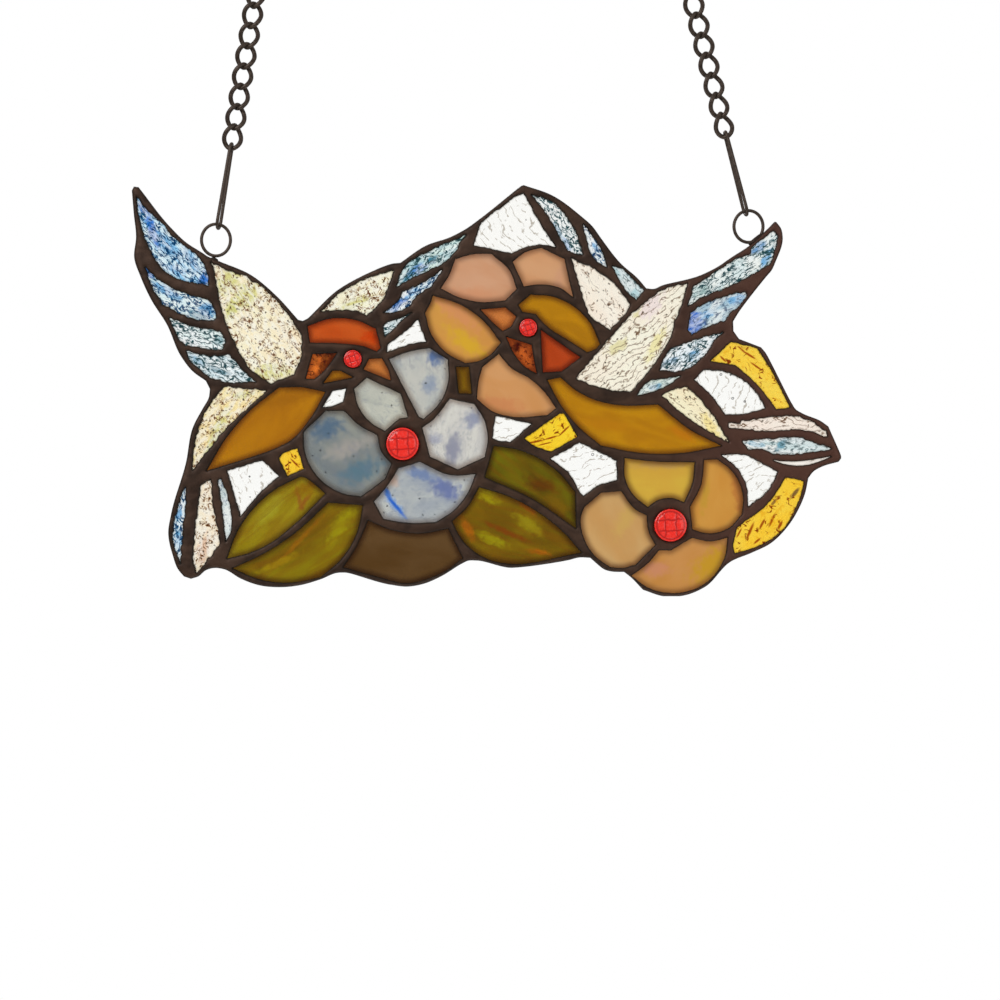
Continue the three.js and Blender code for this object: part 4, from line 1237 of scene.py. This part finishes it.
def build_jewels(settings):
    """Four pressed jewels, domed, with grooves between their pillow facets."""
    panes, _ = windows()
    material = jewel_material(settings.ruby)
    angles = [2 * math.pi * k / JEWEL_SIDES for k in range(JEWEL_SIDES)]
    for name in JEWELS:
        loop = panes[name]
        x, z = (loop.max(axis=0) + loop.min(axis=0)) / 2
        radius = (loop.max(axis=0) - loop.min(axis=0)).max() / 2
        rise = -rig.box(name)[0][1] / MM - GLASS_HALF
        tilt, width = LARGE_GROOVES if radius > LARGE_JEWEL else SMALL_GROOVES
        body = radius + JEWEL_TUCK
        points, grooves = [(x, -GLASS_HALF - rise, z)], [0.0]
        for i in range(1, JEWEL_ROWS + 1):
            reach = i / JEWEL_ROWS
            top = 1 - JEWEL_DOME * reach ** 4
            for angle in angles:
                groove = groove_at(reach, angle + tilt, width)
                y = -GLASS_HALF - rise * top + GROOVE_DEPTH * groove * top
                points.append((x + body * reach * math.sin(angle), y, z + body * reach * math.cos(angle)))
                grooves.append(groove)
        for beyond, y in JEWEL_SKIRT:
            reach = radius + beyond
            points += [(x + reach * math.sin(angle), y, z + reach * math.cos(angle)) for angle in angles]
            grooves += [0.0] * JEWEL_SIDES
        polygons = [(0, 1 + k, 1 + (k + 1) % JEWEL_SIDES) for k in range(JEWEL_SIDES)]
        for start in range(1, 1 + (JEWEL_ROWS + 1) * JEWEL_SIDES, JEWEL_SIDES):
            for k in range(JEWEL_SIDES):
                a, b = start + k, start + (k + 1) % JEWEL_SIDES
                polygons.append((a, a + JEWEL_SIDES, b + JEWEL_SIDES, b))
        polygons.append(tuple(len(points) - 1 - k for k in range(JEWEL_SIDES)))
        piece = new_piece(name + "_glass", points, polygons, material, "ruby", [name])
        # The depth of the grooves, which the jewel's material darkens into painted shade.
        give_values(piece, "groove", grooves)


def ring_path(hanger):
    """The oval of a soldered ring."""
    x, z = hanger["ring"]
    turns = [2 * math.pi * i / RING_POINTS for i in range(RING_POINTS)]
    return [(x + RING_HALF_WIDTH * math.cos(t), 0, z + RING_HALF_HEIGHT * math.sin(t)) for t in turns]


def up_of(hanger):
    """The direction of a chain."""
    return (Vector(hanger["last"]) - Vector(hanger["first"])).normalized()


def hook_path(hanger):
    """The hook's two round bends and the straight wires between them."""
    top = Vector(hanger["first"]) - up_of(hanger) * (LINK_HALF_LENGTH - LINK_WIRE - HOOK_WIRE - HOOK_PLAY)
    ring_x, ring_z = hanger["ring"]
    bottom = Vector((ring_x, ring_z + RING_HALF_HEIGHT - RING_WIRE_SOLID - HOOK_WIRE - HOOK_PLAY))
    bottom.x += math.copysign(1, top.x - bottom.x)
    length = (top - bottom).length
    along = (top - bottom) / length
    turn = math.copysign(HOOK_TURN, top.x - bottom.x)
    bends = (HOOK_TOP_RADIUS, length - HOOK_TOP_RADIUS, 0), (HOOK_BOTTOM_RADIUS, HOOK_BOTTOM_RADIUS, math.pi)
    flat = []
    for (radius, centre, start), (next_radius, next_centre, _) in zip(bends, bends[::-1]):
        for i in range(HOOK_BEND_PARTS + 1):
            angle = start + math.pi * i / HOOK_BEND_PARTS
            flat.append((radius * math.cos(angle), centre + radius * math.sin(angle)))
        begin, target = flat[-1], (-math.cos(start) * next_radius, next_centre)
        for k in range(1, HOOK_WIRE_PARTS):
            flat.append(tuple(a + (b - a) * k / HOOK_WIRE_PARTS for a, b in zip(begin, target)))
    points = []
    for depth, rise in flat:
        side = depth * math.sin(turn)
        x, z = bottom.x + along.x * rise + along.y * side, bottom.y + along.y * rise - along.x * side
        points.append((x, depth * math.cos(turn), z))
    return points


def link_path(centre, up, roll):
    """A twisted oval link, its long way along up."""
    points = []
    for i in range(LINK_POINTS):
        angle = 2 * math.pi * i / LINK_POINTS
        across, along = LINK_HALF_WIDTH * math.cos(angle), LINK_HALF_LENGTH * math.sin(angle)
        twist = LINK_TWIST * math.sin(angle) + roll
        side = across * math.cos(twist)
        x, z = centre.x + up.x * along + up.y * side, centre.y + up.y * along - up.x * side
        points.append((x, across * math.sin(twist), z))
    return points


def chain_paths(hanger):
    """The links of one chain, each turned a little less than the one below."""
    first, last = Vector(hanger["first"]), Vector(hanger["last"])
    for i in range(LINK_COUNT):
        centre = first.lerp(last, i / (LINK_COUNT - 1))
        yield link_path(centre, up_of(hanger), LINK_ROLL_LOWEST + LINK_ROLL_STEP * i)


def wire_pieces(node, ending, radius, paths_of):
    """On each side one piece of closed wires, which stands for that side's node."""
    material = bpy.data.materials["wire_patina"]
    for side, hanger in CHAINS.items():
        solid = joined([wire_loop(path, radius) for path in paths_of(hanger)])
        new_piece(side + node + ending, *solid, material, "wire", [side + node])


def mound(x, z, length, width, depth, angle, seed):
    """A blob of solder, as points and faces."""
    rows, columns = SOLDER_ROWS, SOLDER_COLUMNS
    turn = math.radians(angle)

    def surface_point(theta, phi):
        u = math.sin(theta) * math.cos(phi)
        v = math.sin(theta) * math.sin(phi)
        swell = 1 + 0.12 * wobble(u * 4 + x, v * 4 + z, 2.0, seed)
        along, across = u * length * swell, v * width * swell
        return (
            x + along * math.cos(turn) - across * math.sin(turn),
            -math.cos(theta) * depth * swell,
            z + along * math.sin(turn) + across * math.cos(turn),
        )

    points = [
        surface_point(math.pi * i / rows, 2 * math.pi * k / columns)
        for i in range(1, rows) for k in range(columns)
    ]
    front, back = len(points), len(points) + 1
    points += [surface_point(0.0, 0.0), surface_point(math.pi, 0.0)]
    faces = []
    last = (rows - 2) * columns
    for k in range(columns):
        after = (k + 1) % columns
        faces.append((front, after, k))
        faces.append((back, last + k, last + after))
        for i in range(0, last, columns):
            faces.append((i + k, i + after, i + columns + after, i + columns + k))
    return points, faces


def build_rings(settings):
    """The two soldered rings, with the solder that holds them to the rim."""
    wire_material(settings.wire_tone)
    wire_pieces("_ring", "_wire", RING_WIRE, lambda hanger: [ring_path(hanger)])
    for side, blob in RING_SOLDER.items():
        new_piece(side + "_ring_solder", *mound(*blob), bpy.data.materials["solder_patina"], "solder")


def build_hooks(settings):
    """The long closed wire loops between the rings and the chains."""
    wire_pieces("_hook", "_wire", HOOK_WIRE, lambda hanger: [hook_path(hanger)])


def build_chains(settings):
    """Two chains of twisted links."""
    wire_pieces("_chain", "_links", LINK_WIRE, chain_paths)


# Each lamp: its place from the middle of the picture, its size in metres and its power in watts
LAMPS = {
    "key_light": ((-0.6, -0.8, 0.5), 0.6, 4.0),
    "fill_light": ((0.7, -0.8, 0.1), 0.7, 1.5),
    "rim_light": ((-0.3, 0.8, 0.7), 0.6, 3.0),
}


def build_room(world):
    """A room that is plain white to the eye, and softer where it lights and mirrors."""
    world.use_nodes = True
    background = world.node_tree.nodes["Background"]
    w = Wiring(world.node_tree)
    rays = {label: Value(w, socket) for label, socket in w.node("ShaderNodeLightPath").outputs.items()}
    _, depth, height = w.parts(w.out("ShaderNodeTexCoord", "Generated"))
    above = w.ramp(height, -0.7, 0.9, 0.55, 1.1)
    strength = above * w.ramp(depth, -1.0, 1.0, 0.12, 0.4)
    seen = w.math("MAXIMUM", rays["Is Camera Ray"], rays["Is Transmission Ray"])
    for mask, value in ((rays["Is Diffuse Ray"], above * 0.85), (seen, 1.0)):
        strength = w.out("ShaderNodeMix", 0, {0: mask, 2: strength, 3: value}, data_type="FLOAT")
    background.inputs["Color"].default_value = (1, 1, 1, 1)
    w.set(background.inputs["Strength"], strength)


def build_stage(settings):
    """A pale floor below, a white room, soft lights and the photograph's camera."""
    scene = bpy.context.scene
    scene.view_settings.view_transform = "Standard"
    middle = in_row(*PICTURE_CENTRE)
    bpy.ops.mesh.primitive_circle_add(
        vertices=96, radius=0.42, fill_type="NGON", location=(middle.x, 0.05, middle.z - settings.floor_drop))
    floor = bpy.context.object
    floor.name = "floor"
    floor.data.materials.append(floor_material(settings.floor_colour))
    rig.stage(floor)

    scene.world = bpy.data.worlds.new("white_room")
    build_room(scene.world)

    for name, (offset, size, power) in LAMPS.items():
        data = bpy.data.lights.new(name, "AREA")
        data.size = size
        data.energy = power * settings.light_strength
        data.specular_factor = 0.3
        lamp = bpy.data.objects.new(name, data)
        lamp.location = middle + Vector(offset)
        lamp.rotation_euler = (middle - lamp.location).to_track_quat("-Z", "Y").to_euler()
        scene.collection.objects.link(lamp)

    data = bpy.data.cameras.new("photo_camera")
    data.lens = settings.lens
    data.sensor_width = 36
    camera = bpy.data.objects.new("photo_camera", data)
    camera.location = (middle.x, -PICTURE_WIDTH * settings.lens / data.sensor_width, middle.z)
    camera.rotation_euler = (math.pi / 2, 0, 0)
    scene.collection.objects.link(camera)
    scene.camera = camera


# Settings, operators and panel


class GLASSPANEL_PG_settings(bpy.types.PropertyGroup):
    """Sizes and colours of the panel."""

    seam_crest: bpy.props.FloatProperty(
        name="Seam Crest", description="Height of the solder from the middle of the glass",
        default=2.72 * MM, unit="LENGTH", precision=5)
    seam_unevenness: bpy.props.FloatProperty(
        name="Seam Unevenness", description="How far the solder's surface sinks and swells",
        default=0.3 * MM, unit="LENGTH", precision=5)
    seam_grain: bpy.props.FloatProperty(
        name="Seam Grain", description="Spacing of the points that the solder is modelled with",
        default=1.15 * MM, unit="LENGTH", precision=5)
    patina: bpy.props.FloatVectorProperty(
        name="Patina", description="Colour of the patina on the solder", subtype="COLOR",
        default=linear((56, 39, 29)), min=0, max=1)
    wire_tone: bpy.props.FloatVectorProperty(
        name="Wire", description="Colour of the wire of the rings, hooks and chains", subtype="COLOR",
        default=linear((70, 58, 50)), min=0, max=1)
    ruby: bpy.props.FloatVectorProperty(
        name="Ruby", description="Colour of the glass jewels", subtype="COLOR", default=(0.95, 0.036, 0.024),
        min=0, max=1)
    floor_colour: bpy.props.FloatVectorProperty(
        name="Floor", description="Colour of the floor under the panel", subtype="COLOR",
        default=(0.86, 0.86, 0.86), min=0, max=1)
    floor_drop: bpy.props.FloatProperty(
        name="Floor Drop", description="Height of the picture's middle above the floor", default=0.4,
        unit="LENGTH")
    light_strength: bpy.props.FloatProperty(
        name="Light Strength", description="Scale of the lamps' power", default=1.0, min=0)
    lens: bpy.props.FloatProperty(
        name="Lens", description="Focal length of the camera in millimetres", default=100, min=20)


STEPS = (
    ("seams", "Build Seams", build_seams),
    ("panes", "Build Panes", build_panes),
    ("jewels", "Build Jewels", build_jewels),
    ("rings", "Build Rings", build_rings),
    ("hooks", "Build Hooks", build_hooks),
    ("chains", "Build Chains", build_chains),
    ("stage", "Build Stage", build_stage),
)


def operator_for(step, label, build):
    """The operator class that runs one building step."""

    def execute(self, context):
        if not GROUPS:
            make_groups()
        build(context.scene.glass_panel)
        return {"FINISHED"}

    return type("GLASSPANEL_OT_" + step, (bpy.types.Operator,), {
        "__doc__": build.__doc__,
        "bl_idname": "glass_panel." + step,
        "bl_label": label,
        "bl_options": {"REGISTER", "UNDO"},
        "execute": execute,
    })


class GLASSPANEL_PT_sidebar(bpy.types.Panel):
    """Sizes and colours of the panel, and a button for each step."""

    bl_label = "Glass Panel"
    bl_idname = "GLASSPANEL_PT_sidebar"
    bl_space_type = "VIEW_3D"
    bl_region_type = "UI"
    bl_category = "Glass Panel"

    def draw(self, context):
        settings = context.scene.glass_panel
        for name in settings.bl_rna.properties.keys():
            if name not in ("rna_type", "name"):
                self.layout.prop(settings, name)
        for step, _, _ in STEPS:
            self.layout.operator("glass_panel." + step)


CLASSES = [GLASSPANEL_PG_settings] + [operator_for(*step) for step in STEPS] + [GLASSPANEL_PT_sidebar]


def register():
    for cls in CLASSES:
        bpy.utils.register_class(cls)
    bpy.types.Scene.glass_panel = bpy.props.PointerProperty(type=GLASSPANEL_PG_settings)


def unregister():
    del bpy.types.Scene.glass_panel
    for cls in reversed(CLASSES):
        bpy.utils.unregister_class(cls)


def main():
    """Builds every piece and the stage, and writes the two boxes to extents.json."""
    register()
    for step, _, _ in STEPS:
        getattr(bpy.ops.glass_panel, step)()
    with open("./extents.json", "w") as file:
        json.dump({"cad": CAD_BOX, "visual": [list(corner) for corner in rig.bounds()]}, file)


if __name__ == "__main__":
    main()
